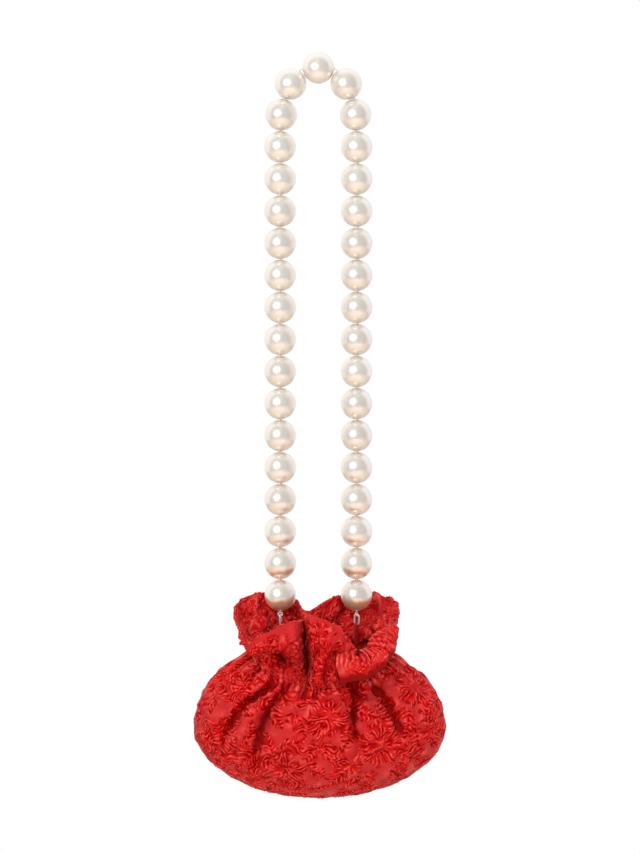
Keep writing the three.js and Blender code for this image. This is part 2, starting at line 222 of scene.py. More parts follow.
@dataclass
class Panel:
    """A flat panel of cloque silk, whose woven figures have shrunk into puckers.

    Its lengths are in mm, and it repeats in both directions.
    """

    width: float
    height: float
    seed: int
    spots: tuple[Spot, ...] = ()
    scattered: int = 60
    tries: int = 12
    flower_share: float = 0.36
    flower_sizes: tuple[float, float] = (6.0, 12.5)
    leaf_sizes: tuple[float, float] = (8.0, 13.0)
    petal_counts: tuple[int, int] = (6, 11)
    leaf_reach: float = 0.62
    clearance: float = 0.86
    step: float = 0.33
    cover: float = 0.3
    loose_start: float = 0.5
    line_start: float = 1.1
    line_mess: float = 0.15
    line_from: float = 0.3
    fray_wave: float = 4.0
    tendril_wave: float = 15.0
    tendril_gain: float = 2.2
    pucker: float = 2.05
    bare_start: float = 0.2
    full_percent: float = 98.0
    growth: float = 0.9
    decay: float = -0.5
    pace: float = 0.6
    steps: int = 16
    sharpness: float = 1.5
    evenness: float = 0.8
    unevenness: float = 0.45
    uneven_wave: float = 5.0
    crest_level: float = 0.3
    crush_level: float = 0.5
    drift_wave: float = 11.0
    crush_wave: float = 7.5
    pucker_height: float = 0.85
    crush_height: float = 0.25
    swell_height: float = 0.35
    groove_depth: float = 0.4
    drift_height: float = 0.3
    hollow_reach: float = 1.3
    painted_light_gain: float = 1.3
    warp: float = 0.6
    warp_wave: float = 8.0
    relief: np.ndarray = field(init=False)
    puff: np.ndarray = field(init=False)
    # painted light: a painted highlight on the crests and painted shade in the hollows
    painted_light: np.ndarray = field(init=False)

    def __post_init__(self) -> None:
        """Work out the relief of the whole panel."""
        self.columns = int(round(self.width / self.step))
        self.rows = int(round(self.height / self.step))
        u = (np.arange(self.columns) + 0.5) * self.step - self.width / 2
        v = (np.arange(self.rows) + 0.5) * self.step - self.height / 2
        self.u, self.v = np.meshgrid(u, v)
        self._figures()
        self._shrink()
        self._model()

    def _fill(self) -> list[Spot]:
        """Scatter more figures into the places that are still bare.

        Returns:
            The given figures and the scattered ones.
        """
        rng = np.random.default_rng(self.seed)
        spots = list(self.spots)
        for _ in range(self.scattered * self.tries):
            kind = Motif.FLOWER if rng.random() < self.flower_share else Motif.LEAF
            size = rng.uniform(*(self.flower_sizes if kind is Motif.FLOWER else self.leaf_sizes))
            u = rng.uniform(-0.5, 0.5) * self.width
            v = rng.uniform(-0.5, 0.5) * self.height
            turn = rng.uniform(0.0, FULL_TURN)
            petals = int(rng.integers(*self.petal_counts))
            reach = [self._reach(s) for s in spots]
            own = self._reach(Spot(kind, u, v, size, turn))
            near = [self._apart(u - s.u, v - s.v) for s in spots]
            if all(d > self.clearance * (own + r) for d, r in zip(near, reach)):
                spots.append(Spot(kind, u, v, size, turn, petals))
        return spots

    def _reach(self, spot: Spot) -> float:
        """Radius that a figure keeps for itself."""
        return spot.size if spot.kind is Motif.FLOWER else self.leaf_reach * spot.size

    def _apart(self, du: float, dv: float) -> float:
        """Distance in mm on a panel that repeats in both directions."""
        return math.hypot(*self._nearest(du, dv))

    def _nearest(self, du: np.ndarray, dv: np.ndarray) -> tuple[np.ndarray, np.ndarray]:
        """Find the nearest repeat of a place.

        Args:
            du: steps across in mm.
            dv: steps up in mm.

        Returns:
            The shortest steps across and up.
        """
        du = du - self.width * np.round(du / self.width)
        dv = dv - self.height * np.round(dv / self.height)
        return du, dv

    def _figures(self) -> None:
        """Draw every figure: where it puckers, how it swells, and the run of its puckers."""
        rng = np.random.default_rng(self.seed + Noise.SOWN)
        shape = self.u.shape
        self.mask = np.zeros(shape)
        self.swell = np.zeros(shape)
        self.groove = np.zeros(shape)
        self.sown = self.loose_start * rng.standard_normal(shape)
        places = self._rolled_up(self.u, self.v)
        self.fray = ripples(places, self.fray_wave, self.seed + Noise.FRAY)
        for spot in self._fill():
            du, dv = self._nearest(self.u - spot.u, self.v - spot.v)
            along = du * math.cos(spot.turn) + dv * math.sin(spot.turn)
            across = dv * math.cos(spot.turn) - du * math.sin(spot.turn)
            if spot.kind is Motif.FLOWER:
                self._flower(spot, along, across)
            else:
                self._leaf(spot, along, across)
        tendrils = ripples(places, self.tendril_wave, self.seed + Noise.TENDRILS) * self.tendril_gain
        self.mask = np.maximum(self.mask, smoothstep(tendrils + self.cover + 0.5 * self.fray))

    def _rolled_up(self, u: np.ndarray, v: np.ndarray) -> np.ndarray:
        """Places on a tube that the panel just goes round, so that its unevenness repeats."""
        radius = self.width / FULL_TURN
        return np.stack([radius * np.cos(u / radius), radius * np.sin(u / radius), v], axis=-1)

    def _sow(self, inside: np.ndarray, run: np.ndarray) -> None:
        """Start the puckers of one figure along its own lines."""
        lines = self.line_start * run + self.line_mess * self.sown
        self.sown = np.where(inside > self.line_from, lines, self.sown)

    def _flower(self, spot: Spot, along: np.ndarray, across: np.ndarray) -> None:
        """Draw a round flower whose puckers run out from its middle.

        Args:
            spot: the figure.
            along: places along it in mm.
            across: places across it in mm.
        """
        cut = FLOWER_CUT
        radius = np.hypot(along, across)
        angle = np.arctan2(across, along)
        lobe = np.abs(np.cos(0.5 * spot.petals * angle)) ** cut.lobe_power
        edge = spot.size * (1 - cut.lobe + cut.lobe * lobe)
        inside = smoothstep((edge - radius + cut.fray * self.fray) / cut.soft + 0.5)
        share = np.clip(radius / edge, 0.0, 1.0)
        rays = max(spot.petals, round(FULL_TURN * cut.ray_ring * spot.size / self.pucker))
        self._sow(inside, np.cos(rays * angle + cut.sway * np.sin(spot.petals * angle)))
        petal = np.clip((share - cut.petal_from) / cut.petal_length, 0.0, 1.0)
        petal = np.sin(math.pi * petal) ** cut.petal_power
        puffed = cut.heart + (1 - cut.heart) * ramp(share, *cut.heart_ramp)
        self.mask = np.maximum(self.mask, inside * puffed)
        self.swell = np.maximum(self.swell, inside * petal * (cut.low + (1 - cut.low) * lobe))
        parting = hump(lobe, 0.0, cut.parting) * ramp(share, *cut.parting_ramp) * inside
        self.groove = np.maximum(self.groove, parting)

    def _leaf(self, spot: Spot, along: np.ndarray, across: np.ndarray) -> None:
        """Draw a pointed leaf with a midrib and slanting veins.

        Args:
            spot: the figure.
            along: places along it in mm.
            across: places across it in mm.
        """
        cut = LEAF_CUT
        share = along / spot.size
        outline = np.clip(1.0 - share**2, 0.0, 1.0) ** cut.point_power * (1.0 - cut.taper * share)
        half = cut.half_width * spot.size * outline
        inside = smoothstep((half - np.abs(across) + cut.fray * self.fray) / cut.soft + 0.5)
        inside = inside * smoothstep((1.0 - np.abs(share)) / cut.tip)
        vein = cut.ahead * along - cut.aside * np.abs(across)
        self._sow(inside, np.cos(FULL_TURN / self.pucker * vein))
        self.mask = np.maximum(self.mask, inside)
        crown = 1.0 - (np.abs(across) / np.maximum(half, cut.narrowest)) ** 2
        self.swell = np.maximum(self.swell, cut.crown * inside * np.sqrt(np.clip(crown, 0.0, 1.0)))
        midrib = hump(across, 0.0, cut.midrib) * (np.abs(share) < cut.midrib_length)
        self.groove = np.maximum(self.groove, midrib)

    def _shrink(self) -> None:
        """Let the figures buckle into puckers, as shrinking threads do."""
        ku = np.fft.rfftfreq(self.columns, self.step)
        kv = np.fft.fftfreq(self.rows, self.step)
        self.square = ku[None, :] ** 2 + kv[:, None] ** 2
        stiff = (1.0 - self.square * self.pucker**2) ** 2
        rate = self.decay + (self.growth - self.decay) * self.mask
        field_now = self.sown * (self.bare_start + (1 - self.bare_start) * self.mask)
        for _ in range(self.steps):
            push = rate * field_now - field_now**3
            bent = np.fft.rfft2(field_now / self.pace + push) / (1.0 / self.pace + stiff)
            field_now = np.fft.irfft2(bent, s=field_now.shape)
        self.buckle = field_now / np.percentile(np.abs(field_now), self.full_percent)

    def _model(self) -> None:
        """Turn the puckers into relief with round tops and sharp creases, and into painted light that is
        lighter on the crests and darker in the hollows.
        """
        places = self._rolled_up(self.u, self.v)
        uneven = ripples(places, self.uneven_wave, self.seed + Noise.UNEVEN)
        uneven = self.evenness + self.unevenness * uneven
        wave = np.clip(self.buckle * uneven, -1.0, 1.0)
        crest = np.expm1(self.sharpness * (wave + 1)) / math.expm1(2 * self.sharpness)
        self.puff = np.clip(self.mask, 0.0, 1.0)
        drift = ripples(places, self.drift_wave, self.seed + Noise.DRIFT)
        crush = self.crush_level - np.abs(ripples(places, self.crush_wave, self.seed + Noise.CRUSH))
        pucker = self.pucker_height * (crest - self.crest_level) + self.crush_height * crush
        pucker = self.puff * pucker
        self.relief = pucker + self.swell_height * self.swell - self.groove_depth * self.groove
        self.relief = self.relief + self.drift_height * drift
        # Painted light: how far each place stands out of its blurred surroundings, for a painted highlight
        # on the crests and painted shade in the hollows.
        blur = np.exp(-2.0 * (math.pi * self.hollow_reach) ** 2 * self.square)
        level = np.fft.irfft2(np.fft.rfft2(self.relief) * blur, s=self.relief.shape)
        self.painted_light = np.clip(0.5 + self.painted_light_gain * (self.relief - level), 0.0, 1.0)

    def sample(self, name: str, u: np.ndarray, v: np.ndarray) -> np.ndarray:
        """Read a layer of the panel at places on the cloth.

        Args:
            name: the layer: relief, puff, or the painted light of the crests and hollows.
            u: places across in mm.
            v: places up in mm.

        Returns:
            The layer's value at each place, on a panel that repeats.
        """
        layer = getattr(self, name)
        places = self._rolled_up(u, v)
        u = u + self.warp * ripples(places, self.warp_wave, self.seed + Noise.WARP_ACROSS)
        v = v + self.warp * ripples(places, self.warp_wave, self.seed + Noise.WARP_UP)
        x = (u + self.width / 2) / self.step - 0.5
        y = (v + self.height / 2) / self.step - 0.5
        x0 = np.floor(x).astype(int)
        y0 = np.floor(y).astype(int)
        fx = x - x0
        fy = y - y0
        left, right = x0 % self.columns, (x0 + 1) % self.columns
        low, high = y0 % self.rows, (y0 + 1) % self.rows
        bottom = layer[low, left] * (1 - fx) + layer[low, right] * fx
        top = layer[high, left] * (1 - fx) + layer[high, right] * fx
        return bottom * (1 - fy) + top * fy

    def layers(self, u: np.ndarray, v: np.ndarray) -> dict[str, np.ndarray]:
        """Every layer of the panel at places on the cloth, by name."""
        return {name: self.sample(name, u, v) for name in ("relief", "puff", "painted_light")}


@dataclass(frozen=True)
class Crease:
    """A fold line pressed into one face of the body, as a bent line from start to end."""

    face: Face
    start: tuple[float, float]
    bend: tuple[float, float]
    end: tuple[float, float]
    width: float
    depth: float
    samples: int = 28
    blend: float = 2.0
    fade: float = 0.4
    hollow: tuple[float, float] = (0.85, 0.75)
    cut: tuple[float, float] = (0.9, 1.4)
    lip: tuple[float, float] = (0.3, 1.9)
    shade_width: float = 1.9

    def _near(self, x: np.ndarray, z: np.ndarray) -> tuple[np.ndarray, np.ndarray]:
        """Find the nearest part of the crease.

        Args:
            x: places across in mm.
            z: heights in mm.

        Returns:
            The distance to the crease in mm, and how strong it still is there.
        """
        t = np.linspace(0.0, 1.0, self.samples + 1)
        path_x, path_z = (
            (1 - t) ** 2 * start + 2 * t * (1 - t) * bend + t * t * end
            for start, bend, end in zip(self.start, self.bend, self.end)
        )
        gaps = np.hypot(x[..., None] - path_x, z[..., None] - path_z)
        nearest = gaps.min(axis=-1)
        weight = np.exp((nearest[..., None] - gaps) / self.blend)
        strength = (weight * smoothstep((1 - t) / self.fade)).sum(axis=-1) / weight.sum(axis=-1)
        return nearest, strength

    def press(self, x: np.ndarray, z: np.ndarray) -> np.ndarray:
        """How deep the crease presses at places seen from the front.

        Args:
            x: places across in mm.
            z: heights in mm.

        Returns:
            Depth in mm, negative beside the crease where the cloth swells.
        """
        nearest, strength = self._near(x, z)
        share, reach = self.hollow
        broad = share * self.depth * hump(nearest, 0.0, reach * self.width)
        share, reach = self.cut
        sharp = share * self.depth * np.exp(-nearest / reach)
        share, place = self.lip
        lip = share * self.depth * hump(nearest, place * self.width, self.width)
        return strength * (broad + sharp - lip)

    def shade(self, x: np.ndarray, z: np.ndarray) -> np.ndarray:
        """How much the crease keeps light out, from 0 to 1."""
        nearest, strength = self._near(x, z)
        return strength * hump(nearest, 0.0, self.shade_width)


@dataclass(frozen=True)
class RimBend:
    """One bend of the ruffle's edge: its turn round the neck, place, and outward roll."""

    turn_deg: float
    x: float
    y: float
    z: float
    roll: float = 0.0


CREASES = (
    Crease(Face.FRONT, (-22, -381), (-44, -406), (-40, -441), 4.5, 7),
    Crease(Face.FRONT, (-29, -379), (-56, -389), (-65, -427), 4.5, 6),
    Crease(Face.FRONT, (23, -382), (22, -402), (24, -422), 4, 5),
    Crease(Face.FRONT, (36, -381), (52, -398), (54, -418), 5.5, 4.5),
    Crease(Face.BACK, (-30, -374), (-46, -392), (-50, -424), 5, 5.5),
    Crease(Face.BACK, (-8, -376), (-13, -400), (-10, -426), 5, 5),
    Crease(Face.BACK, (16, -376), (24, -396), (20, -420), 4.5, 5.5),
    Crease(Face.BACK, (34, -372), (52, -388), (60, -420), 5, 5),
)

RIM = (
    RimBend(0, 51.5, 0, -332),
    RimBend(30, 45.5, 13, -327),
    RimBend(58, 30, 20, -324.5),
    RimBend(80, 11, 18, -326),
    RimBend(98, -7, 10, -335.5),
    RimBend(114, -14, 17, -328),
    RimBend(135, -30, 20, -324.2),
    RimBend(158, -46, 13, -326),
    RimBend(178, -53.5, 1, -333),
    RimBend(198, -50.5, -14, -347, 0.2),
    RimBend(213, -46.5, -26, -354, 0.3),
    RimBend(228, -33, -31, -346, 0.1),
    RimBend(242, -20, -31, -340),
    RimBend(252, -12.5, -26, -339),
    RimBend(259, -9.5, -16, -340),
    RimBend(266, -6, -24, -336),
    RimBend(280, 7, -28, -339.5),
    RimBend(289, 15.5, -27, -345, 0.1),
    RimBend(302, 18, -33.5, -358.5, 0.65),
    RimBend(311, 21, -40, -371, 1.0),
    RimBend(320, 29, -42, -374.5, 1.0),
    RimBend(331, 39, -36, -366, 0.9),
    RimBend(346, 46.5, -19, -348, 0.4),
)


@dataclass(frozen=True)
class Push:
    """A place of the ruffle that is pushed: where, how wide, and how far."""

    turn_deg: float
    rise: float
    wide_deg: float
    high: float
    dx: float
    dy: float
    dz: float


PUSHES = (
    Push(247, 0.36, 4.5, 0.45, 0.0, -10.0, 0.0),
    Push(259, 0.45, 2.6, 0.50, 0.0, 15.0, 0.0),
    Push(267, 0.50, 3.5, 0.40, 0.0, -5.0, 0.0),
    Push(231, 0.40, 5.0, 0.15, 2.0, 15.0, 0.0),
    Push(214, 0.62, 12.0, 0.14, -1.0, -5.0, -3.0),
    Push(217, 0.28, 10.0, 0.14, 0.0, -3.0, -6.0),
    Push(274, 0.28, 7.0, 0.15, 0.0, -8.0, -6.0),
    Push(288, 0.50, 3.5, 0.16, 0.0, 3.0, 0.0),
    Push(281, 0.64, 4.0, 0.13, 0.0, -4.0, -1.0),
    Push(296, 0.32, 6.0, 0.17, -2.0, -11.0, -11.0),
    Push(322, 0.97, 13.0, 0.18, 1.0, 7.0, 4.0),
    Push(318, 0.62, 16.0, 0.2, 0.0, 0.0, -9.0),
    Push(306, 0.92, 5.0, 0.30, -9.0, -2.0, -9.0),
    Push(303, 0.75, 5.0, 0.20, 3.0, 3.0, 2.0),
    Push(340, 0.66, 9.0, 0.25, -4.0, -5.0, -2.0),
    Push(48, 0.36, 15.0, 0.12, 0.0, -12.0, 0.0),
    Push(24, 0.42, 9.0, 0.22, -7.0, -6.0, 0.0),
    Push(75, 0.66, 3.5, 0.25, 0.0, 8.0, 0.0),
    Push(119, 0.72, 3.5, 0.25, 0.0, 7.0, 0.0),
    Push(128, 0.55, 8.0, 0.30, 0.0, 5.0, 0.0),
    Push(152, 0.50, 6.0, 0.30, 3.0, -4.0, 0.0),
)


def rim_track(column: str, turn: np.ndarray) -> np.ndarray:
    """Read one column of the rim as a closed smooth curve.

    Args:
        column: x, y, z or roll.
        turn: turns round the neck in radians.

    Returns:
        The column's value at each turn.
    """
    at = np.array([bend.turn_deg for bend in RIM])
    value = np.array([getattr(bend, column) for bend in RIM], float)
    at_next = np.append(at[1:], at[0] + 360.0)
    at_last = np.insert(at[:-1], 0, at[-1] - 360.0)
    slope = (np.roll(value, -1) - np.roll(value, 1)) / (at_next - at_last)
    deg = np.degrees(turn) % 360.0
    i = np.searchsorted(at, deg, side="right") - 1
    j = (i + 1) % len(RIM)
    gap = at_next[i] - at[i]
    s = (deg - at[i]) / gap
    rise = value[j] - value[i]
    start_bend = slope[i] * gap - rise
    end_bend = rise - slope[j] * gap
    return value[i] + s * rise + s * (1 - s) * ((1 - s) * start_bend + s * end_bend)


SWAYS = ((1.3, 3, 0.7), (1.1, 5, 2.1), (0.7, 8, 0.0))


@dataclass(frozen=True)
class PouchForm:
    """The smooth form of the pouch: a squashed ball, its neck, and the ruffle above it."""

    centre_x: float = 0.8
    centre_z: float = -407.0
    half_width: float = 80.0
    half_depth: float = 34.0
    drop: float = 46.0
    rise: float = 58.0
    neck_half_width: float = 46.0
    dip_front: float = 22.0
    dip_back: float = 6.0
    even_spacing: float = 0.2
    ruffle_lift: float = 11.0
    ruffle_puff: float = 5.0
    lip_lift: float = 24.0
    lip_setback: float = 0.45
    crease_side_clear: float = 0.35
    cloth: float = 1.8
    bunch: float = 4.8
    bunch_reach: float = 9.0
    body_path: float = 125.0
    push_clear: float = 0.08
    front_gain: float = 1.4
    broad_shade: tuple[float, float] = (0.4, 14.0)
    fine_shade: tuple[float, float] = (0.5, 9.0)
    shade_level: float = 0.3
    broad_folds: int = 24
    fine_folds: int = 66
    fine_sway: float = 2.3
    fine_start: float = 1.3

    @property
    def neck_latitude(self) -> float:
        """Latitude at which the ball is cut off."""
        return math.acos(self.neck_half_width / self.half_width)

    def _spaced(self, turn: np.ndarray) -> np.ndarray:
        """Turns about the ball that space the columns more evenly along it."""
        return turn + self.even_spacing * np.sin(2 * turn)

    def body(self, turn: np.ndarray, rise: np.ndarray) -> np.ndarray:
        """Places on the smooth body.

        Args:
            turn: turns round the pouch in radians.
            rise: 0 at the bottom to 1 at the neck.

        Returns:
            Places in mm, with the axes last.
        """
        theta = self._spaced(turn)
        latitude = -math.pi / 2 + rise * (self.neck_latitude + math.pi / 2)
        ring = np.clip(np.cos(latitude), 0.0, None)
        height = np.where(latitude < 0, self.drop, self.rise)
        outward = np.sin(theta)
        dip = np.where(outward < 0, self.dip_front, self.dip_back) * outward**2
        near_neck = smoothstep(np.maximum(latitude, 0.0) / self.neck_latitude)
        x = self.half_width * ring * np.cos(theta)
        y = self.half_depth * ring * outward
        z = height * np.sin(latitude) - dip * near_neck
        inward = -unit(
            np.stack([x / self.half_width**2, y / self.half_depth**2, z / height**2], axis=-1)
        )
        x = x + self.centre_x * (1 - near_neck)
        z = z + self.centre_z
        pressed = np.zeros(x.shape)
        for crease in CREASES:
            on_face = (outward < 0) == (crease.face is Face.FRONT)
            pressed += np.where(on_face, crease.press(x, z), 0.0)
        pressed *= smoothstep(np.abs(outward) / self.crease_side_clear)
        return np.stack([x, y, z], axis=-1) + inward * pressed[..., None]

    def ruffle(self, turn: np.ndarray, rise: np.ndarray) -> np.ndarray:
        """Places on the smooth ruffle.

        Args:
            turn: turns round the neck in radians.
            rise: 0 at the neck to 1 at the edge.

        Returns:
            Places in mm, with the axes last.
        """
        turn, rise = np.broadcast_arrays(turn, rise)
        neck = self.body(turn, np.ones(turn.shape))
        edge = np.stack([rim_track(c, turn) for c in ("x", "y", "z")], axis=-1)
        roll = rim_track("roll", turn)[..., None]
        neck_half_depth = self.half_depth * math.cos(self.neck_latitude)
        start = neck.copy()
        start[..., 1] += self.ruffle_puff * neck[..., 1] / neck_half_depth
        start[..., 2] += self.ruffle_lift
        upright = edge.copy()
        upright[..., 2] -= self.ruffle_lift
        rolled = edge + (neck - edge) * self.lip_setback
        rolled[..., 2] = edge[..., 2] + self.lip_lift
        end = upright + (rolled - upright) * roll
        t = rise[..., None]
        s = 1 - t
        places = s**3 * neck + 3 * s * s * t * start + 3 * s * t * t * end + t**3 * edge
        deg = np.degrees(turn)
        for push in PUSHES:
            away = (deg - push.turn_deg + 180) % 360 - 180
            near = np.exp(-((away / push.wide_deg) ** 2) - ((rise - push.rise) / push.high) ** 2)
            near = near * smoothstep(rise / self.push_clear)
            places = places + near[..., None] * np.array([push.dx, push.dy, push.dz])
        return places

    def neck_out(self, turn: np.ndarray) -> np.ndarray:
        """Level directions straight out from the neck.

        Args:
            turn: turns round the neck in radians.

        Returns:
            A unit direction for each turn, with the axes last.
        """
        theta = self._spaced(turn)
        x = np.cos(theta) / self.half_width
        y = np.sin(theta) / self.half_depth
        return unit(np.stack([x, y, 0 * x], axis=-1))

    @staticmethod
    def crush(places: np.ndarray) -> np.ndarray:
        """Small random folds of handled cloth, with sharp bottoms, from about -1 to 1 mm."""
        return 0.7 - np.abs(BROAD_CRUSH.at(places)) - 0.3 * np.abs(FINE_CRUSH.at(places))

    def neck_fill(self, turn: np.ndarray, away: np.ndarray) -> np.ndarray:
        """How far the cloth bunches forward near the neck.

        Args:
            turn: turns round the neck in radians.
            away: distance from the neck along the cloth in mm.

        Returns:
            Distances in mm.
        """
        front = smoothstep(-self.front_gain * np.sin(turn))
        return self.bunch * front * hump(away, 0.0, self.bunch_reach)

    def gather_shade(self, turn: np.ndarray, away: np.ndarray) -> np.ndarray:
        """How much the gathers darken the cloth near the neck.

        Args:
            turn: turns round the neck in radians.
            away: distance from the neck along the cloth in mm.

        Returns:
            The shade, negative on the crests.
        """
        broad, fine = self.gathers(turn)
        strength, reach = self.broad_shade
        shade = strength * (broad - self.shade_level) * hump(away, 0.0, reach)
        strength, reach = self.fine_shade
        return shade + strength * (fine - self.shade_level) * hump(away, 0.0, reach)

    def gathers(self, turn: np.ndarray) -> tuple[np.ndarray, np.ndarray]:
        """The folds that the gathering thread draws in at the neck.

        Args:
            turn: turns round the neck in radians.

        Returns:
            The broad folds and the fine folds, from 0 on a crest to 1 in a fold.
        """
        sway = sum(size * np.sin(count * turn + start) for size, count, start in SWAYS)
        broad = 1 - np.abs(np.sin(0.5 * (self.broad_folds * turn + sway))) ** 0.8
        fine_turn = self.fine_folds * turn + self.fine_sway * sway + self.fine_start
        fine = 1 - np.abs(np.sin(0.5 * fine_turn)) ** 0.9
        return broad, fine


def grid_normals(places: np.ndarray, closed: bool = True) -> np.ndarray:
    """Outward directions of a grid of places.

    Args:
        places: rows up, columns round, axes last.
        closed: whether the last column joins the first.

    Returns:
        A unit direction for each place.
    """
    if closed:
        around = np.roll(places, -1, axis=1) - np.roll(places, 1, axis=1)
    else:
        around = np.gradient(places, axis=1)
    upward = np.gradient(places, axis=0)
    normal = np.cross(around, upward)
    flat = np.linalg.norm(normal, axis=-1) < TINY
    normal[flat] = (0.0, 0.0, -1.0)
    return unit(normal)


def even_turns(speed: np.ndarray, fine: np.ndarray, count: int, first: float, last: float) -> np.ndarray:
    """Turns that share out a stretch of a closed path evenly.

    Args:
        speed: how much path each fine step takes.
        fine: the turn at which each fine step starts, evenly spaced over a full turn.
        count: how many steps are wanted.
        first: the turn to start at.
        last: the turn to end at.

    Returns:
        Turns in radians, from first to last, both included.
    """
    length = np.append(0.0, np.cumsum(speed))
    ends = np.append(fine, FULL_TURN)
    start, stop = np.interp([first, last], ends, length)
    return np.interp(np.linspace(start, stop, count + 1), length, ends)


def lengths_up(places: np.ndarray) -> np.ndarray:
    """Way up each column of a grid of places from its first row."""
    steps = np.linalg.norm(np.diff(places, axis=0), axis=-1)
    return np.concatenate([np.zeros((1, places.shape[1])), np.cumsum(steps, axis=0)])


def cubic_weights(at: np.ndarray, count: int, closed: bool) -> np.ndarray:
    """Weights that read a row of even samples smoothly.

    Args:
        at: places counted in samples from the first.
        count: how many samples there are.
        closed: whether the last sample is followed by the first.

    Returns:
        One row of weights for each place.
    """
    weights = np.zeros((len(at), count))
    base = np.floor(at).astype(int)
    t = at - base
    shares = (
        -0.5 * t + t**2 - 0.5 * t**3,
        1 - 2.5 * t**2 + 1.5 * t**3,
        0.5 * t + 2 * t**2 - 1.5 * t**3,
        -0.5 * t**2 + 0.5 * t**3,
    )
    rows = np.arange(len(at))
    for offset, share in zip((-1, 0, 1, 2), shares):
        column = base + offset
        column = column % count if closed else np.clip(column, 0, count - 1)
        np.add.at(weights, (rows, column), share)
    return weights


def link(obj: bpy.types.Object) -> bpy.types.Object:
    """Put an object into the scene and return it."""
    bpy.context.scene.collection.objects.link(obj)
    return obj


def flat_grid(name: str, rows: int, columns: int) -> tuple[bpy.types.Mesh, np.ndarray, np.ndarray]:
    """A flat grid of quads that waits to be shaped.

    Args:
        name: the mesh's name.
        rows: quads up.
        columns: quads across.

    Returns:
        The mesh, and the row and column of each of its corners.
    """
    bm = bmesh.new()
    bmesh.ops.create_grid(bm, x_segments=columns, y_segments=rows, size=1.0)
    mesh = bpy.data.meshes.new(name)
    bm.to_mesh(mesh)
    bm.free()
    flat = np.empty(len(mesh.vertices) * 3, np.float32)
    mesh.vertices.foreach_get("co", flat)
    flat = flat.reshape(-1, 3)
    column = np.rint((flat[:, 0] + 1) / 2 * columns).astype(int)
    row = np.rint((flat[:, 1] + 1) / 2 * rows).astype(int)
    return mesh, row, column


def weld(mesh: bpy.types.Mesh) -> None:
    """Close the seams and poles where corners meet.

    Args:
        mesh: the mesh, which is changed in place.
    """
    bm = bmesh.new()
    bm.from_mesh(mesh)
    bmesh.ops.remove_doubles(bm, verts=bm.verts, dist=WELD_DISTANCE)
    bm.to_mesh(mesh)
    bm.free()


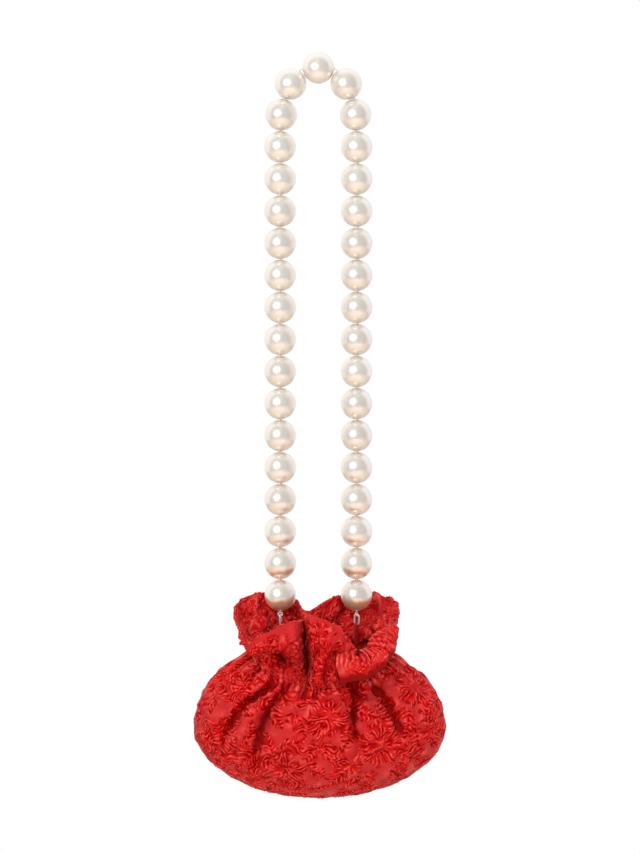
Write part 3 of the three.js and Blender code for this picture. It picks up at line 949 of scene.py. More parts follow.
@dataclass
class Crumple:
    """A slack cloth laid over the smooth pouch, which buckles between its gathers.

    The cloth is simulated at ten times its size on a coarse grid, and only its small
    shifts are kept.
    """

    form: PouchForm
    columns: int = 176
    body_rows: int = 40
    ruffle_rows: int = 20
    scale: float = 0.01
    frames: int = 16
    slack: float = 0.16
    cap: float = 3.2
    levels: int = 20
    stir: float = 0.25
    stir_wave: float = 9.0
    seed: int = 71
    body_slack: float = 0.75
    slack_ramp: tuple[float, float] = (0.45, 0.45)
    body_free: float = 0.75
    free_ramp: tuple[float, float] = (0.1, 0.5)
    neck_ramp: tuple[float, float] = (0.96, 0.03)
    ruffle_hold: float = 0.12
    edge_hold: float = 0.3
    edge_ramp: tuple[float, float] = (0.8, 0.2)
    body_shift: np.ndarray = field(init=False)
    ruffle_shift: np.ndarray = field(init=False)

    def __post_init__(self) -> None:
        """Run the cloth and keep how far each place moved."""
        shape = (self.body_rows + 1, self.columns, 3)
        self.body_shift = np.zeros(shape)
        self.ruffle_shift = np.zeros((self.ruffle_rows + 1, self.columns, 3))
        self._run()

    def _run(self) -> None:
        """Simulate the slack cloth."""
        turn = np.linspace(0, FULL_TURN, self.columns, endpoint=False)[None, :]
        rise = np.linspace(0, 1, self.body_rows + 1)[:, None]
        lift = np.linspace(0, 1, self.ruffle_rows + 1)[:, None]
        body = self.form.body(turn, rise)
        ruffle = self.form.ruffle(turn, lift)
        places = np.concatenate([body[1:], ruffle[1:]])
        stirs = [ripples(places, self.stir_wave, self.seed + i) for i in range(3)]
        seeds = self.stir * np.stack(stirs, axis=-1)
        body_slack = ramp(rise[1:], *self.slack_ramp) * self.body_slack
        ruffle_slack = np.ones((self.ruffle_rows, 1))
        slack = np.concatenate([body_slack, ruffle_slack]) + 0 * places[..., 0]
        body_hold = 1 - self.body_free * ramp(rise[1:], *self.free_ramp)
        body_hold = np.maximum(body_hold, ramp(rise[1:], *self.neck_ramp))
        ruffle_hold = self.ruffle_hold + self.edge_hold * ramp(lift[1:], *self.edge_ramp)
        hold = np.concatenate([body_hold, ruffle_hold]) + 0 * places[..., 0]
        moved = self._simulate(places + seeds, slack, hold)
        shift = moved - places
        size = np.linalg.norm(shift, axis=-1, keepdims=True)
        shift = shift * (self.cap * np.tanh(size / self.cap) / np.maximum(size, TINY))
        log.info("crumple: mean %.2f mm, most %.2f mm", size.mean(), size.max())
        self.body_shift[1:] = shift[: self.body_rows]
        self.ruffle_shift[0] = shift[self.body_rows - 1]
        self.ruffle_shift[1:] = shift[self.body_rows :]

    def _simulate(self, places: np.ndarray, slack: np.ndarray, hold: np.ndarray) -> np.ndarray:
        """Run the cloth from a starting shape.

        Args:
            places: the starting shape in mm, rows up and columns round.
            slack: share of the full slack at each place.
            hold: how firmly each place is held.

        Returns:
            The places after the last frame.
        """
        rows = places.shape[0] - 1
        mesh, row, column = flat_grid("crumple", rows, self.columns)
        wrapped = column % self.columns
        mesh.vertices.foreach_set("co", (places[row, wrapped] * self.scale).astype(np.float32).ravel())
        index = (row * self.columns + wrapped).astype(np.int32)
        mesh.attributes.new("seat", "INT", "POINT").data.foreach_set("value", index)
        weld(mesh)
        seat = np.empty(len(mesh.vertices), np.int32)
        mesh.attributes["seat"].data.foreach_get("value", seat)
        cloth = link(bpy.data.objects.new("crumple", mesh))
        self._weigh(cloth, "hold", hold.ravel()[seat])
        self._weigh(cloth, "slack", slack.ravel()[seat])
        self._set_up(cloth.modifiers.new("cloth", "CLOTH"))
        scene = bpy.context.scene
        for number in range(1, self.frames + 1):
            scene.frame_set(number)
        made = cloth.evaluated_get(bpy.context.evaluated_depsgraph_get()).data
        moved = np.empty(len(made.vertices) * 3, np.float32)
        made.vertices.foreach_get("co", moved)
        result = places.copy().reshape(-1, 3)
        result[seat] = moved.reshape(-1, 3) / self.scale
        bpy.data.objects.remove(cloth)
        bpy.data.meshes.remove(mesh)
        scene.frame_set(1)
        return result.reshape(places.shape)

    def _weigh(self, cloth: bpy.types.Object, name: str, weights: np.ndarray) -> None:
        """Give the cloth a group of weights in even levels.

        Args:
            cloth: the cloth.
            name: the group's name.
            weights: one weight for each corner, from 0 to 1.
        """
        group = cloth.vertex_groups.new(name=name)
        levels = np.rint(weights * self.levels).astype(int)
        for level in range(self.levels + 1):
            members = np.flatnonzero(levels == level).tolist()
            group.add(members, level / self.levels, "REPLACE")

    def _set_up(self, modifier: bpy.types.ClothModifier) -> None:
        """Make the cloth thin and slack, without weight.

        Args:
            modifier: the cloth's modifier.
        """
        settings = modifier.settings
        settings.quality = 6
        settings.mass = 0.3
        settings.tension_stiffness = 25
        settings.compression_stiffness = 25
        settings.shear_stiffness = 12
        settings.bending_stiffness = 0.35
        settings.vertex_group_mass = "hold"
        settings.vertex_group_shrink = "slack"
        settings.shrink_min = 0.0
        settings.shrink_max = -self.slack
        settings.effector_weights.gravity = 0.0
        modifier.collision_settings.use_collision = False

    def body(self, turn: np.ndarray, rise: np.ndarray) -> np.ndarray:
        """Shifts of the body at columns and rows of any spacing."""
        return self._read(self.body_shift, turn, rise)

    def ruffle(self, turn: np.ndarray, rise: np.ndarray) -> np.ndarray:
        """Shifts of the ruffle at columns and rows of any spacing."""
        return self._read(self.ruffle_shift, turn, rise)

    def _read(self, shift: np.ndarray, turn: np.ndarray, rise: np.ndarray) -> np.ndarray:
        """Read a grid of shifts smoothly.

        Args:
            shift: shifts on the coarse grid.
            turn: turns of the wanted columns in radians.
            rise: rises of the wanted rows.

        Returns:
            Shifts in mm, rows up and columns round.
        """
        rows = shift.shape[0]
        across = cubic_weights(turn / FULL_TURN * self.columns, self.columns, True)
        up = cubic_weights(rise * (rows - 1), rows, False)
        return np.einsum("ra,abk,cb->rck", up, shift, across, optimize=True)


@dataclass
class Wall:
    """Grids of places that become one closed cloth wall: its outside, and a plainer inside."""

    name: str
    outside: np.ndarray
    u: np.ndarray
    v: np.ndarray
    puff: np.ndarray
    # painted light: painted highlight on crests, painted shade in hollows and folds
    painted_light: np.ndarray
    closed: bool

    def skin(self) -> bpy.types.Mesh:
        """Shape a flat grid into the wall's outside.

        Returns:
            The welded mesh, with a UV map in centimetres and the cloth's layers: puff, and the painted light
            of crests, hollows and folds.
        """
        rows = self.outside.shape[0] - 1
        columns = self.outside.shape[1] - (0 if self.closed else 1)
        mesh, row, column = flat_grid(self.name, rows, columns)
        wrapped = column % self.outside.shape[1]
        mesh.vertices.foreach_set("co", (self.outside[row, wrapped] * MM).astype(np.float32).ravel())
        for layer in ("puff", "painted_light"):
            values = getattr(self, layer)[row, wrapped].astype(np.float32)
            mesh.attributes.new(layer, "FLOAT", "POINT").data.foreach_set("value", values)
        u, v = self.u, self.v
        if self.closed:
            u = np.concatenate([u, 2 * u[:, -1:] - u[:, -2:-1]], axis=1)
            v = np.concatenate([v, v[:, :1]], axis=1)
        corner = np.empty(len(mesh.loops), np.int32)
        mesh.loops.foreach_get("vertex_index", corner)
        uv = np.stack([u[row[corner], column[corner]], v[row[corner], column[corner]]], axis=-1)
        mesh.uv_layers.new(name="cloth").data.foreach_set("uv", (uv * UV_PER_MM).astype(np.float32).ravel())
        weld(mesh)
        return mesh

    def build(self) -> bpy.types.Object:
        """Finish a wall whose grid already closes on itself.

        Returns:
            The finished object.
        """
        mesh = self.skin()
        mesh.shade_smooth()
        return link(bpy.data.objects.new(self.name, mesh))

    def build_lined(self, lining: np.ndarray) -> bpy.types.Object:
        """Close an open wall with a plain lining inside it.

        Args:
            lining: places of the lining on a coarser grid, rows up and columns across.

        Returns:
            The finished object.
        """
        mesh = self.skin()
        inner, row, column = flat_grid("lining", lining.shape[0] - 1, lining.shape[1] - 1)
        inner.vertices.foreach_set("co", (lining[row, column] * MM).astype(np.float32).ravel())
        inner.uv_layers.new(name="cloth")
        weld(inner)
        inner.flip_normals()
        bm = bmesh.new()
        bm.from_mesh(mesh)
        bm.from_mesh(inner)
        bpy.data.meshes.remove(inner)
        rims = [e for e in bm.edges if e.is_boundary]
        for edge in rims:
            edge.smooth = False
        bmesh.ops.bridge_loops(bm, edges=rims)
        bmesh.ops.recalc_face_normals(bm, faces=bm.faces)
        for face in bm.faces:
            face.smooth = True
        bm.to_mesh(mesh)
        bm.free()
        return link(bpy.data.objects.new(self.name, mesh))


FRONT_SPOTS = (
    Spot(Motif.FLOWER, 6, 8, 12, 0.2, 9),
    Spot(Motif.FLOWER, 39, -10, 14.5, 0.5, 13),
    Spot(Motif.FLOWER, -22, -27, 12, 0.9, 9),
    Spot(Motif.FLOWER, 63, 27, 13, 0.1, 7),
    Spot(Motif.FLOWER, 22, -23, 6.5, 0.4, 6),
    Spot(Motif.LEAF, 4.5, -13, 9, -1.25),
    Spot(Motif.LEAF, -5, -13, 9, -2.1),
    Spot(Motif.LEAF, -1, -28, 9.5, -0.6),
    Spot(Motif.LEAF, 64, -7, 11, -1.35),
    Spot(Motif.LEAF, 24, -36, 9, 0.5),
    Spot(Motif.LEAF, -28, 11, 12, -1.1),
    Spot(Motif.LEAF, -31, -11, 11, 1.9),
    Spot(Motif.LEAF, -8, 20, 9, 0.6),
    Spot(Motif.LEAF, -16, -7, 10, 0.3),
    Spot(Motif.LEAF, -4, -41, 10, 0.1),
    Spot(Motif.LEAF, -44, -2, 9, 1.4),
)


@dataclass
class PouchPanel:
    """One face of the oval cushion, from the bottom to the gathered neck."""

    form: PouchForm
    face: Face
    columns: int
    rows: int
    lining_columns: int = 48
    lining_rows: int = 16
    gather_depth: float = 3.2
    fine_depth: float = 2.6
    crush_depth: float = 0.7
    flat: tuple[float, float] = (0.20, 0.125)
    fine_steps: int = 2000
    even_at: float = 0.62
    slices: int = 12
    crush_ramp: tuple[float, float] = (0.5, 0.4)
    crush_clear: float = 0.12
    neck_ramp: tuple[float, float] = (0.86, 0.14)
    fine_length: float = 0.13
    seam_clear: float = 0.02
    end_clear: float = 0.03
    side_relief: float = 0.4
    side_reach: float = 14.0
    neck_relief: float = 0.3
    neck_reach: float = 0.11
    crease_shade: float = 0.5

    def turns(self, count: int) -> np.ndarray:
        """Column turns from one side seam to the other.

        Args:
            count: how many columns are wanted.

        Returns:
            Turns in radians, with both seams.
        """
        fine = np.linspace(0.0, FULL_TURN, self.fine_steps, endpoint=False)
        ring = self.form.body(fine[None, :], np.full((1, 1), self.even_at))[0]
        step = np.linalg.norm(np.roll(ring, -1, axis=0) - ring, axis=-1)
        first = 0.0 if self.face is Face.BACK else math.pi
        return even_turns(step, fine, count, first, first + math.pi)

    def cloth_places(self, places: np.ndarray) -> tuple[np.ndarray, np.ndarray]:
        """Where each place of the body lies on its flat oval panel.

        Args:
            places: places on the smooth body in mm.

        Returns:
            The places across and up the panel in mm.
        """
        form = self.form
        x = places[..., 0] - form.centre_x
        z = places[..., 2] - form.centre_z
        height = np.where(z < 0, form.drop, form.rise)
        share = np.sqrt((x / form.half_width) ** 2 + (z / height) ** 2)
        bent = np.arcsin(np.clip(share, 0.0, 1.0))
        reach = np.hypot(x, z)
        axis = reach / np.maximum(share, TINY)
        length = np.zeros(x.shape)
        for k in range(self.slices):
            a = bent * (k + 0.5) / self.slices
            length += np.sqrt((axis * np.cos(a)) ** 2 + (form.half_depth * np.sin(a)) ** 2)
        length *= bent / self.slices
        stretch = np.where(reach > TINY, length / np.maximum(reach, TINY), 1.0)
        return x * stretch, z * stretch

    def folded(self, turn: np.ndarray, rise: np.ndarray, crumple: Crumple, fine_share: float) -> np.ndarray:
        """The body with its gathers and its slack, before the puckers.

        Args:
            turn: turns of the columns in radians.
            rise: rises of the rows.
            crumple: the slack of the cloth.
            fine_share: how much of the finest gathers is wanted.

        Returns:
            Places in mm, rows up and columns across.
        """
        form = self.form
        round_, up = turn[None, :], rise[:, None]
        base = form.body(round_, up) + crumple.body(turn, rise)
        out = grid_normals(base, closed=False)
        loose = self.crush_depth * ramp(up, *self.crush_ramp) * smoothstep((1 - up) / self.crush_clear)
        base = base + out * (loose * form.crush(base))[..., None]
        near_neck = ramp(up, *self.neck_ramp)[..., None]
        out = unit(out * (1 - near_neck) + form.neck_out(round_) * near_neck)
        broad, fine = form.gathers(round_)
        length = 0.2 + 0.1 * np.sin(7 * round_ + 1.0) + 0.05 * np.sin(17 * round_)
        folds = self.gather_depth * broad * smoothstep((up - 1) / length + 1)
        fine_fade = smoothstep((up - 1) / self.fine_length + 1)
        folds = folds + fine_share * self.fine_depth * fine * fine_fade
        folds = folds - form.neck_fill(round_, (1 - up) * form.body_path)
        return base - out * folds[..., None]

    def build(self, cloth: Panel, crumple: Crumple) -> bpy.types.Object:
        """Lay the puckered cloth over this face of the body.

        Args:
            cloth: the puckered cloth.
            crumple: the slack of the cloth.

        Returns:
            The closed wall of this face.
        """
        form = self.form
        turn = self.turns(self.columns)
        rise = np.linspace(0.0, 1.0, self.rows + 1)
        folded = self.folded(turn, rise, crumple, 1.0)
        round_, up = turn[None, :], rise[:, None]
        smooth = form.body(round_, up)
        u, v = self.cloth_places(smooth)
        layers = cloth.layers(u, v)
        seam = np.minimum(turn - turn[0], turn[-1] - turn)[None, :] / self.seam_clear
        calm = smoothstep((1 - up) / self.end_clear) * smoothstep(up / self.end_clear) * smoothstep(seam)
        side = smoothstep(np.abs(smooth[..., 1]) / self.side_reach)
        calm = calm * (self.side_relief + (1 - self.side_relief) * side)
        calm = calm * (self.neck_relief + (1 - self.neck_relief) * smoothstep((1 - up) / self.neck_reach))
        outside = folded + grid_normals(folded, closed=False) * (layers["relief"] * calm)[..., None]
        outside[0] = outside[0].mean(axis=0)
        # painted light of the puckers, with painted shade laid in the neck's gathers and along the creases
        painted_light = layers["painted_light"] - form.gather_shade(round_, (1 - up) * form.body_path)
        for crease in CREASES:
            if crease.face is self.face:
                painted_light = painted_light - self.crease_shade * crease.shade(smooth[..., 0], smooth[..., 2])
        name = f"pouch_{self.face.value}"
        wall = Wall(name, outside, u, v, layers["puff"], np.clip(painted_light, 0.0, 1.0), False)
        return wall.build_lined(self.lining(crumple))

    def lining(self, crumple: Crumple) -> np.ndarray:
        """The plain inside of this face, one cloth thickness in.

        Args:
            crumple: the slack of the cloth.

        Returns:
            Places in mm on a coarser grid, rows up and columns across.
        """
        turn = self.turns(self.lining_columns)
        rise = np.linspace(0.0, 1.0, self.lining_rows + 1)
        lining = self.folded(turn, rise, crumple, 0.0)
        lining = lining - grid_normals(lining, closed=False) * self.form.cloth
        lining[0] = lining[0].mean(axis=0)
        return lining


@dataclass(frozen=True)
class Stretch:
    """A stretch of the mouth with soft ends, in degrees round it or in shares of its rise."""

    first: float
    last: float
    soft: float

    def at(self, x: np.ndarray) -> np.ndarray:
        """1 inside the stretch, easing to 0 at its ends."""
        return span(x, self.first, self.last, self.soft)


COLLAR_SMOOTH = Stretch(286, 360, 14)
FRONT_SMOOTH = Stretch(200, 293, 8)
SLANTED = Stretch(238, 257, 5)
SLANT_RISE = Stretch(0.03, 0.8, 0.15)
FANNED = Stretch(206, 237, 8)
FAN_RISE = Stretch(0.25, 0.7, 0.12)
ROLL_RISE = Stretch(0.35, 1.0, 0.12)
TUCK_RISE = Stretch(0.4, 0.85, 0.12)
HEMS = (
    (7, Stretch(240, 256, 4)),
    (4, Stretch(282, 296, 4)),
    (6, Stretch(312, 350, 8)),
    (-3, Stretch(0, 190, 10)),
)


@dataclass
class RuffleLie:
    """How the smooth cloth of the ruffle lies.

    Its rows run from the neck to the edge and its columns run round the mouth.
    """

    turn: np.ndarray
    rise: np.ndarray
    base: np.ndarray
    up: np.ndarray
    rolled: np.ndarray
    share: np.ndarray
    under: np.ndarray

    @property
    def deg(self) -> np.ndarray:
        """Turns of the columns in degrees."""
        return np.degrees(self.turn)


@dataclass
class MouthRuffle:
    """The ruffled mouth above the gathers, faced with its own cloth."""

    form: PouchForm
    columns: int = 620
    rows: int = 66
    edge_rows: int = 24
    gather_depth: float = 3.2
    fine_depth: float = 2.6
    collar: float = 11.0
    crush_depth: float = 0.5
    flat: tuple[float, float] = (0.40, 0.046)
    fine_steps: int = 3000
    even_at: tuple[float, float] = (0.65, 1.0)
    neck_reach: float = 0.25
    collar_smooth: float = 0.75
    front_smooth: float = 0.7
    front_ramp: tuple[float, float] = (0.6, 0.3)
    roll_in: tuple[float, float] = (112.0, 16.0)
    roll_out: tuple[float, float] = (188.0, 40.0)
    roll_under: tuple[float, float] = (0.95, 0.3)
    broad_reach: float = 0.75
    fine_reach: float = 0.42
    collar_ramp: tuple[float, float] = (0.4, 0.35)
    collar_front: float = 0.1
    collar_back: float = 0.7
    fold_thickness: float = 0.6
    slant_depth: float = 0.9
    slant_waves: tuple[float, float] = (1.1, 1.5)
    fan_depth: float = 0.8
    fan_wave: float = 1.9
    fan_sway: float = 1.2
    hem: float = 3.5
    hem_sway: float = 1.5
    hem_soft: float = 2.5
    hem_relief: float = 0.08
    neck_relief: float = 0.35
    neck_clear: float = 9.0
    inner_relief: float = 0.9
    inner_from: float = 0.3
    end_clear: float = 2.0
    under_relief: float = 0.85
    roll_depth: float = 0.55
    roll_waves: tuple[float, float] = (2.5, 0.5)
    roll_sway: float = 2.0
    roll_from: float = 0.4
    collar_shade: float = 0.45
    under_shade: float = 0.4
    slot_degs: tuple[float, float] = (258.5, 2.0)
    slot_from: float = 0.1
    slot_shade: float = 0.55
    pit_degs: tuple[float, float] = (231.0, 5.0)
    pit_rise: tuple[float, float] = (0.4, 0.12)
    pit_shade: float = 0.4
    tuck_degs: tuple[tuple[float, float], ...] = ((75, 2.2), (119, 2.6))
    tuck_shade: float = 0.5
    inner_painted_light: float = 0.08

    @property
    def outer_rows(self) -> slice:
        """Rows of the outside."""
        return slice(0, self.rows + 1)

    @property
    def over_rows(self) -> slice:
        """Rows that go over the edge."""
        return slice(self.rows + 1, self.rows + 1 + self.edge_rows)

    @property
    def inner_rows(self) -> slice:
        """Rows of the inside."""
        return slice(self.rows + 1 + self.edge_rows, None)

    def turns(self) -> np.ndarray:
        """Column turns, even along the middle and the edge of the ruffle.

        Returns:
            Turns in radians, one for each column.
        """
        fine = np.linspace(0.0, FULL_TURN, self.fine_steps, endpoint=False)
        rings = self.form.ruffle(fine[None, :], np.array(self.even_at)[:, None])
        step = np.linalg.norm(np.roll(rings, -1, axis=1) - rings, axis=-1).max(axis=0)
        return even_turns(step, fine, self.columns, 0.0, FULL_TURN)[:-1]

    def lie(self, crumple: Crumple) -> RuffleLie:
        """Lay out the smooth cloth with its slack.

        Args:
            crumple: the slack of the cloth.

        Returns:
            How the cloth lies before its folds.
        """
        form = self.form
        turns = self.turns()
        rises = np.linspace(0.0, 1.0, self.rows + 1)
        turn, rise = turns[None, :], rises[:, None]
        deg = np.degrees(turn)
        base = form.ruffle(turn, rise) + crumple.ruffle(turns, rises)
        loose = self.crush_depth * smoothstep(rise / self.neck_reach)
        loose = loose * (1 - self.collar_smooth * COLLAR_SMOOTH.at(deg))
        loose = loose * (1 - self.front_smooth * FRONT_SMOOTH.at(deg) * ramp(rise, *self.front_ramp))
        base = base + grid_normals(base) * (loose * form.crush(base))[..., None]
        from_back = (deg + 180) % 360
        last, soft = self.roll_out
        rolled = ramp(from_back, *self.roll_in) * smoothstep((last - from_back) / soft)
        share = np.linspace(0.0, 1.0, self.edge_rows + 2)[1:-1, None]
        last, soft = self.roll_under
        under = rolled * smoothstep((last - share) / soft)
        return RuffleLie(turn, rise, base, lengths_up(base), rolled, share, under)

    def profile(self, lie: RuffleLie) -> np.ndarray:
        """Take the cloth up the outside, over a rounded edge and down the inside.

        Args:
            lie: how the smooth cloth lies.

        Returns:
            Places in mm, from the neck outside to the neck inside.
        """
        form, base, rise, deg = self.form, lie.base, lie.rise, lie.deg
        near_neck = smoothstep(1 - rise / self.neck_reach)[..., None]
        out = grid_normals(base)
        out = unit(out * (1 - near_neck) + form.neck_out(lie.turn) * near_neck)
        broad, fine = form.gathers(lie.turn)
        broad_fade = smoothstep(1 - rise / self.broad_reach)
        fine_fade = smoothstep(1 - rise / self.fine_reach)
        folds = -self.gather_depth * broad * broad_fade - self.fine_depth * fine * fine_fade
        slant = SLANTED.at(deg) * SLANT_RISE.at(rise)
        across, upward = self.slant_waves
        slants = np.sin(base[..., 2] * upward - base[..., 0] * across)
        folds = folds + self.slant_depth * slant * slants
        fan = FANNED.at(deg) * FAN_RISE.at(rise)
        fans = np.sin(self.fan_wave * lie.up + self.fan_sway * FAN_SWELLS.at(base))
        folds = folds + self.fan_depth * fan * fans
        collar = self.collar * lie.rolled * ramp(rise, *self.collar_ramp)
        fill = form.neck_fill(lie.turn, lie.up)
        face = base + out * (folds + fill + self.collar_front * collar)[..., None]
        thick = form.cloth + self.fold_thickness * self.gather_depth * broad * broad_fade
        thick = thick + self.collar_back * collar
        back = base - out * (thick - fill)[..., None]
        middle = (face[-1] + back[-1]) / 2
        half = (face[-1] - back[-1]) / 2
        ahead = unit(base[-1] - base[-2]) * np.linalg.norm(half, axis=-1, keepdims=True)
        swing = math.pi * lie.share[..., None]
        edge = middle + half * np.cos(swing) + ahead * np.sin(swing)
        return np.concatenate([face, edge, back[::-1]])

    def calm(self, lie: RuffleLie) -> np.ndarray:
        """How much of the puckers stands up on each part of the ruffle.

        Args:
            lie: how the smooth cloth lies.

        Returns:
            Shares from 0 to 1, from the neck outside to the neck inside.
        """
        hem = self.hem + self.hem_sway * HEM_SWELLS.at(lie.base)
        for extra, stretch in HEMS:
            hem = hem + extra * stretch.at(lie.deg)
        up = lie.up
        over = up[-1:]
        calm = self.hem_relief + (1 - self.hem_relief) * smoothstep((over - up - hem) / self.hem_soft + 1)
        calm = calm * (self.neck_relief + (1 - self.neck_relief) * smoothstep(up / self.neck_clear))
        edge = calm[-1:] + (self.inner_relief - calm[-1:]) * smoothstep(lie.share / self.inner_from)
        calm = np.concatenate([calm, edge, self.inner_relief + 0 * up])
        near_neck = smoothstep(up / self.end_clear)
        calm = calm * np.concatenate([near_neck, 1 + 0 * lie.share * over, near_neck[::-1]])
        calm[self.over_rows] *= 1 - self.under_relief * lie.under
        return calm

    def rolls(self, lie: RuffleLie, across: np.ndarray) -> np.ndarray:
        """Soft rolls along the collar's underside.

        Args:
            lie: how the smooth cloth lies.
            across: places round the cloth in mm.

        Returns:
            Heights in mm, from the neck outside to the neck inside.
        """
        round_, upward = self.roll_waves
        waves = round_ * across[self.outer_rows] + upward * lie.up
        waves = np.sin(waves + self.roll_sway * ROLL_SWELLS.at(lie.base))
        rolls = self.roll_depth * (lie.rolled * ROLL_RISE.at(lie.rise)) * waves
        edge = rolls[-1:] * (1 - lie.under) * smoothstep(lie.share / self.roll_from)
        return np.concatenate([0 * lie.up, edge, rolls[::-1]])

    def shaded(self, lie: RuffleLie, painted_light: np.ndarray) -> np.ndarray:
        """Darken what the folds of the ruffle keep out of the light.

        Args:
            lie: how the smooth cloth lies.
            painted_light: painted light from how far each place stands out of its surroundings.

        Returns:
            The same with more painted shade, and a little painted light on the inside, from 0 to 1.
        """
        deg, rise = lie.deg, lie.rise
        slot = hump(deg, *self.slot_degs) * smoothstep(rise / self.slot_from)
        pit = hump(deg, *self.pit_degs) * hump(rise, *self.pit_rise)
        tucks = sum(hump(deg, middle, wide) for middle, wide in self.tuck_degs)
        painted_light[self.outer_rows] -= self.form.gather_shade(lie.turn, lie.up)
        painted_light[self.outer_rows] -= self.collar_shade * lie.rolled
        painted_light[self.outer_rows] -= self.slot_shade * slot + self.pit_shade * pit
        painted_light[self.over_rows] -= self.under_shade * lie.under
        # painted light that brightens the inside
        painted_light[self.rows + self.edge_rows :] += self.inner_painted_light
        painted_light[self.inner_rows] -= self.tuck_shade * (tucks * TUCK_RISE.at(rise))[::-1]
        return np.clip(painted_light, 0.0, 1.0)

    def build(self, cloth: Panel, crumple: Crumple) -> bpy.types.Object:
        """Lay the puckered cloth up the outside, over the edge and down the inside.

        Args:
            cloth: the cloth of the ruffle, which repeats round the mouth.
            crumple: the slack of the cloth.

        Returns:
            The closed wall of the ruffle.
        """
        lie = self.lie(crumple)
        profile = self.profile(lie)
        along = lengths_up(profile)
        step = np.linalg.norm(np.roll(profile, -1, axis=1) - profile, axis=-1)
        step = np.percentile(step[self.rows // 2 : -self.rows // 2], 75, axis=0)
        across = np.append(0.0, np.cumsum(step))[:-1] * (cloth.width / step.sum()) + 0 * along
        calm = self.calm(lie)
        rolls = self.rolls(lie, across)
        layers = cloth.layers(across, along)
        outside = profile + grid_normals(profile) * (layers["relief"] * calm + rolls)[..., None]
        # painted light from the puckers and the collar's rolls, then painted shade in the folds
        painted_light = self.shaded(lie, 0.5 + (layers["painted_light"] - 0.5) * calm + 0.5 * rolls)
        grids = (outside, across, along, layers["puff"] * calm, painted_light)
        wall = Wall("mouth_ruffle", *(np.concatenate([grid, grid[:1]]) for grid in grids), True)
        return wall.build()


class NodeTree:
    """A short way to place and join shader nodes."""

    def __init__(self, tree: bpy.types.NodeTree) -> None:
        """Wrap a node tree."""
        self.tree = tree

    def add(self, kind: str, inputs: dict | None = None, **settings: object) -> bpy.types.Node:
        """Place a node.

        Args:
            kind: the node's type name without its ShaderNode prefix.
            inputs: values or sockets for its inputs, by name or number.
            settings: properties of the node.

        Returns:
            The new node.
        """
        node = self.tree.nodes.new(kind if kind.startswith("Node") else "ShaderNode" + kind)
        for name, value in settings.items():
            setattr(node, name, value)
        self.feed(node, inputs or {})
        return node

    def feed(self, node: bpy.types.Node, inputs: dict) -> None:
        """Set or join inputs of a node.

        Args:
            node: the node.
            inputs: values or sockets for its inputs, by name or number.
        """
        for key, value in inputs.items():
            self.join(value, node.inputs[key])

    def join(self, value: object, socket: bpy.types.NodeSocket) -> None:
        """Set one input to a value, or join it to another node's output.

        Args:
            value: the value or the other node's output.
            socket: the input.
        """
        if isinstance(value, bpy.types.NodeSocket):
            self.tree.links.new(value, socket)
        else:
            socket.default_value = value

    def math(self, operation: str, *values: object, clamp: bool = False) -> bpy.types.NodeSocket:
        """Place a Math node and return its result."""
        inputs = dict(enumerate(values))
        return self.add("Math", inputs, operation=operation, use_clamp=clamp).outputs[0]

    def mix(self, share: object, a: object, b: object, blend: str = "MIX") -> bpy.types.NodeSocket:
        """Place a colour Mix node.

        Args:
            share: how much of the second colour shows.
            a: the first colour.
            b: the second colour.
            blend: how the two are blended.

        Returns:
            The mixed colour.
        """
        node = self.add("Mix", data_type="RGBA", blend_type=blend)
        for key, value in (("Factor", share), ("A", a), ("B", b)):
            kind = "VALUE" if key == "Factor" else "RGBA"
            self.join(value, next(s for s in node.inputs if s.name == key and s.type == kind))
        return next(s for s in node.outputs if s.type == "RGBA")

    def ease(
        self, value: object, limits: tuple[float, float], ends: tuple[float, float] = (0.0, 1.0)
    ) -> bpy.types.NodeSocket:
        """Place a Map Range node that eases from one end to the other.

        Args:
            value: what is mapped.
            limits: the values at which the first and the last end are reached.
            ends: the first and the last result.

        Returns:
            The eased value.
        """
        inputs = {"Value": value, FROM_MIN: limits[0], FROM_MAX: limits[1], TO_MIN: ends[0], TO_MAX: ends[1]}
        return self.add("MapRange", inputs, interpolation_type="SMOOTHSTEP").outputs[0]


def new_group(
    name: str, inputs: dict[str, tuple[str, float | None]], outputs: dict[str, str]
) -> bpy.types.NodeTree:
    """Start a shader node group.

    Args:
        name: the group's name.
        inputs: socket type and first value for each named input.
        outputs: socket type for each named output.

    Returns:
        The group's tree, with its sockets made.
    """
    tree = bpy.data.node_groups.new(name, "ShaderNodeTree")
    for label, (kind, value) in inputs.items():
        socket = tree.interface.new_socket(label, in_out="INPUT", socket_type=kind)
        if value is not None:
            socket.default_value = value
    for label, kind in outputs.items():
        tree.interface.new_socket(label, in_out="OUTPUT", socket_type=kind)
    return tree


def weave_group(distortion: float = 0.6) -> bpy.types.NodeTree:
    """Crossed threads: a height for bump and a shade for colour.

    Args:
        distortion: how uneven the threads are.

    Returns:
        The group.
    """
    tree = new_group(
        "crossed_threads",
        {"Vector": ("NodeSocketVector", None), "Threads": ("NodeSocketFloat", 20.0)},
        {"Height": "NodeSocketFloat", "Shade": "NodeSocketFloat"},
    )
    nodes = NodeTree(tree)
    given = nodes.add("NodeGroupInput").outputs
    inputs = {"Vector": given["Vector"], "Scale": given["Threads"], "Distortion": distortion}
    warp, weft = (nodes.add("TexWave", inputs, bands_direction=way) for way in ("X", "Y"))
    height = nodes.math("MULTIPLY", warp.outputs["Fac"], weft.outputs["Fac"])
    shade = nodes.math("MULTIPLY_ADD", height, 0.25, 0.85)
    nodes.add("NodeGroupOutput", {"Height": height, "Shade": shade})
    return tree


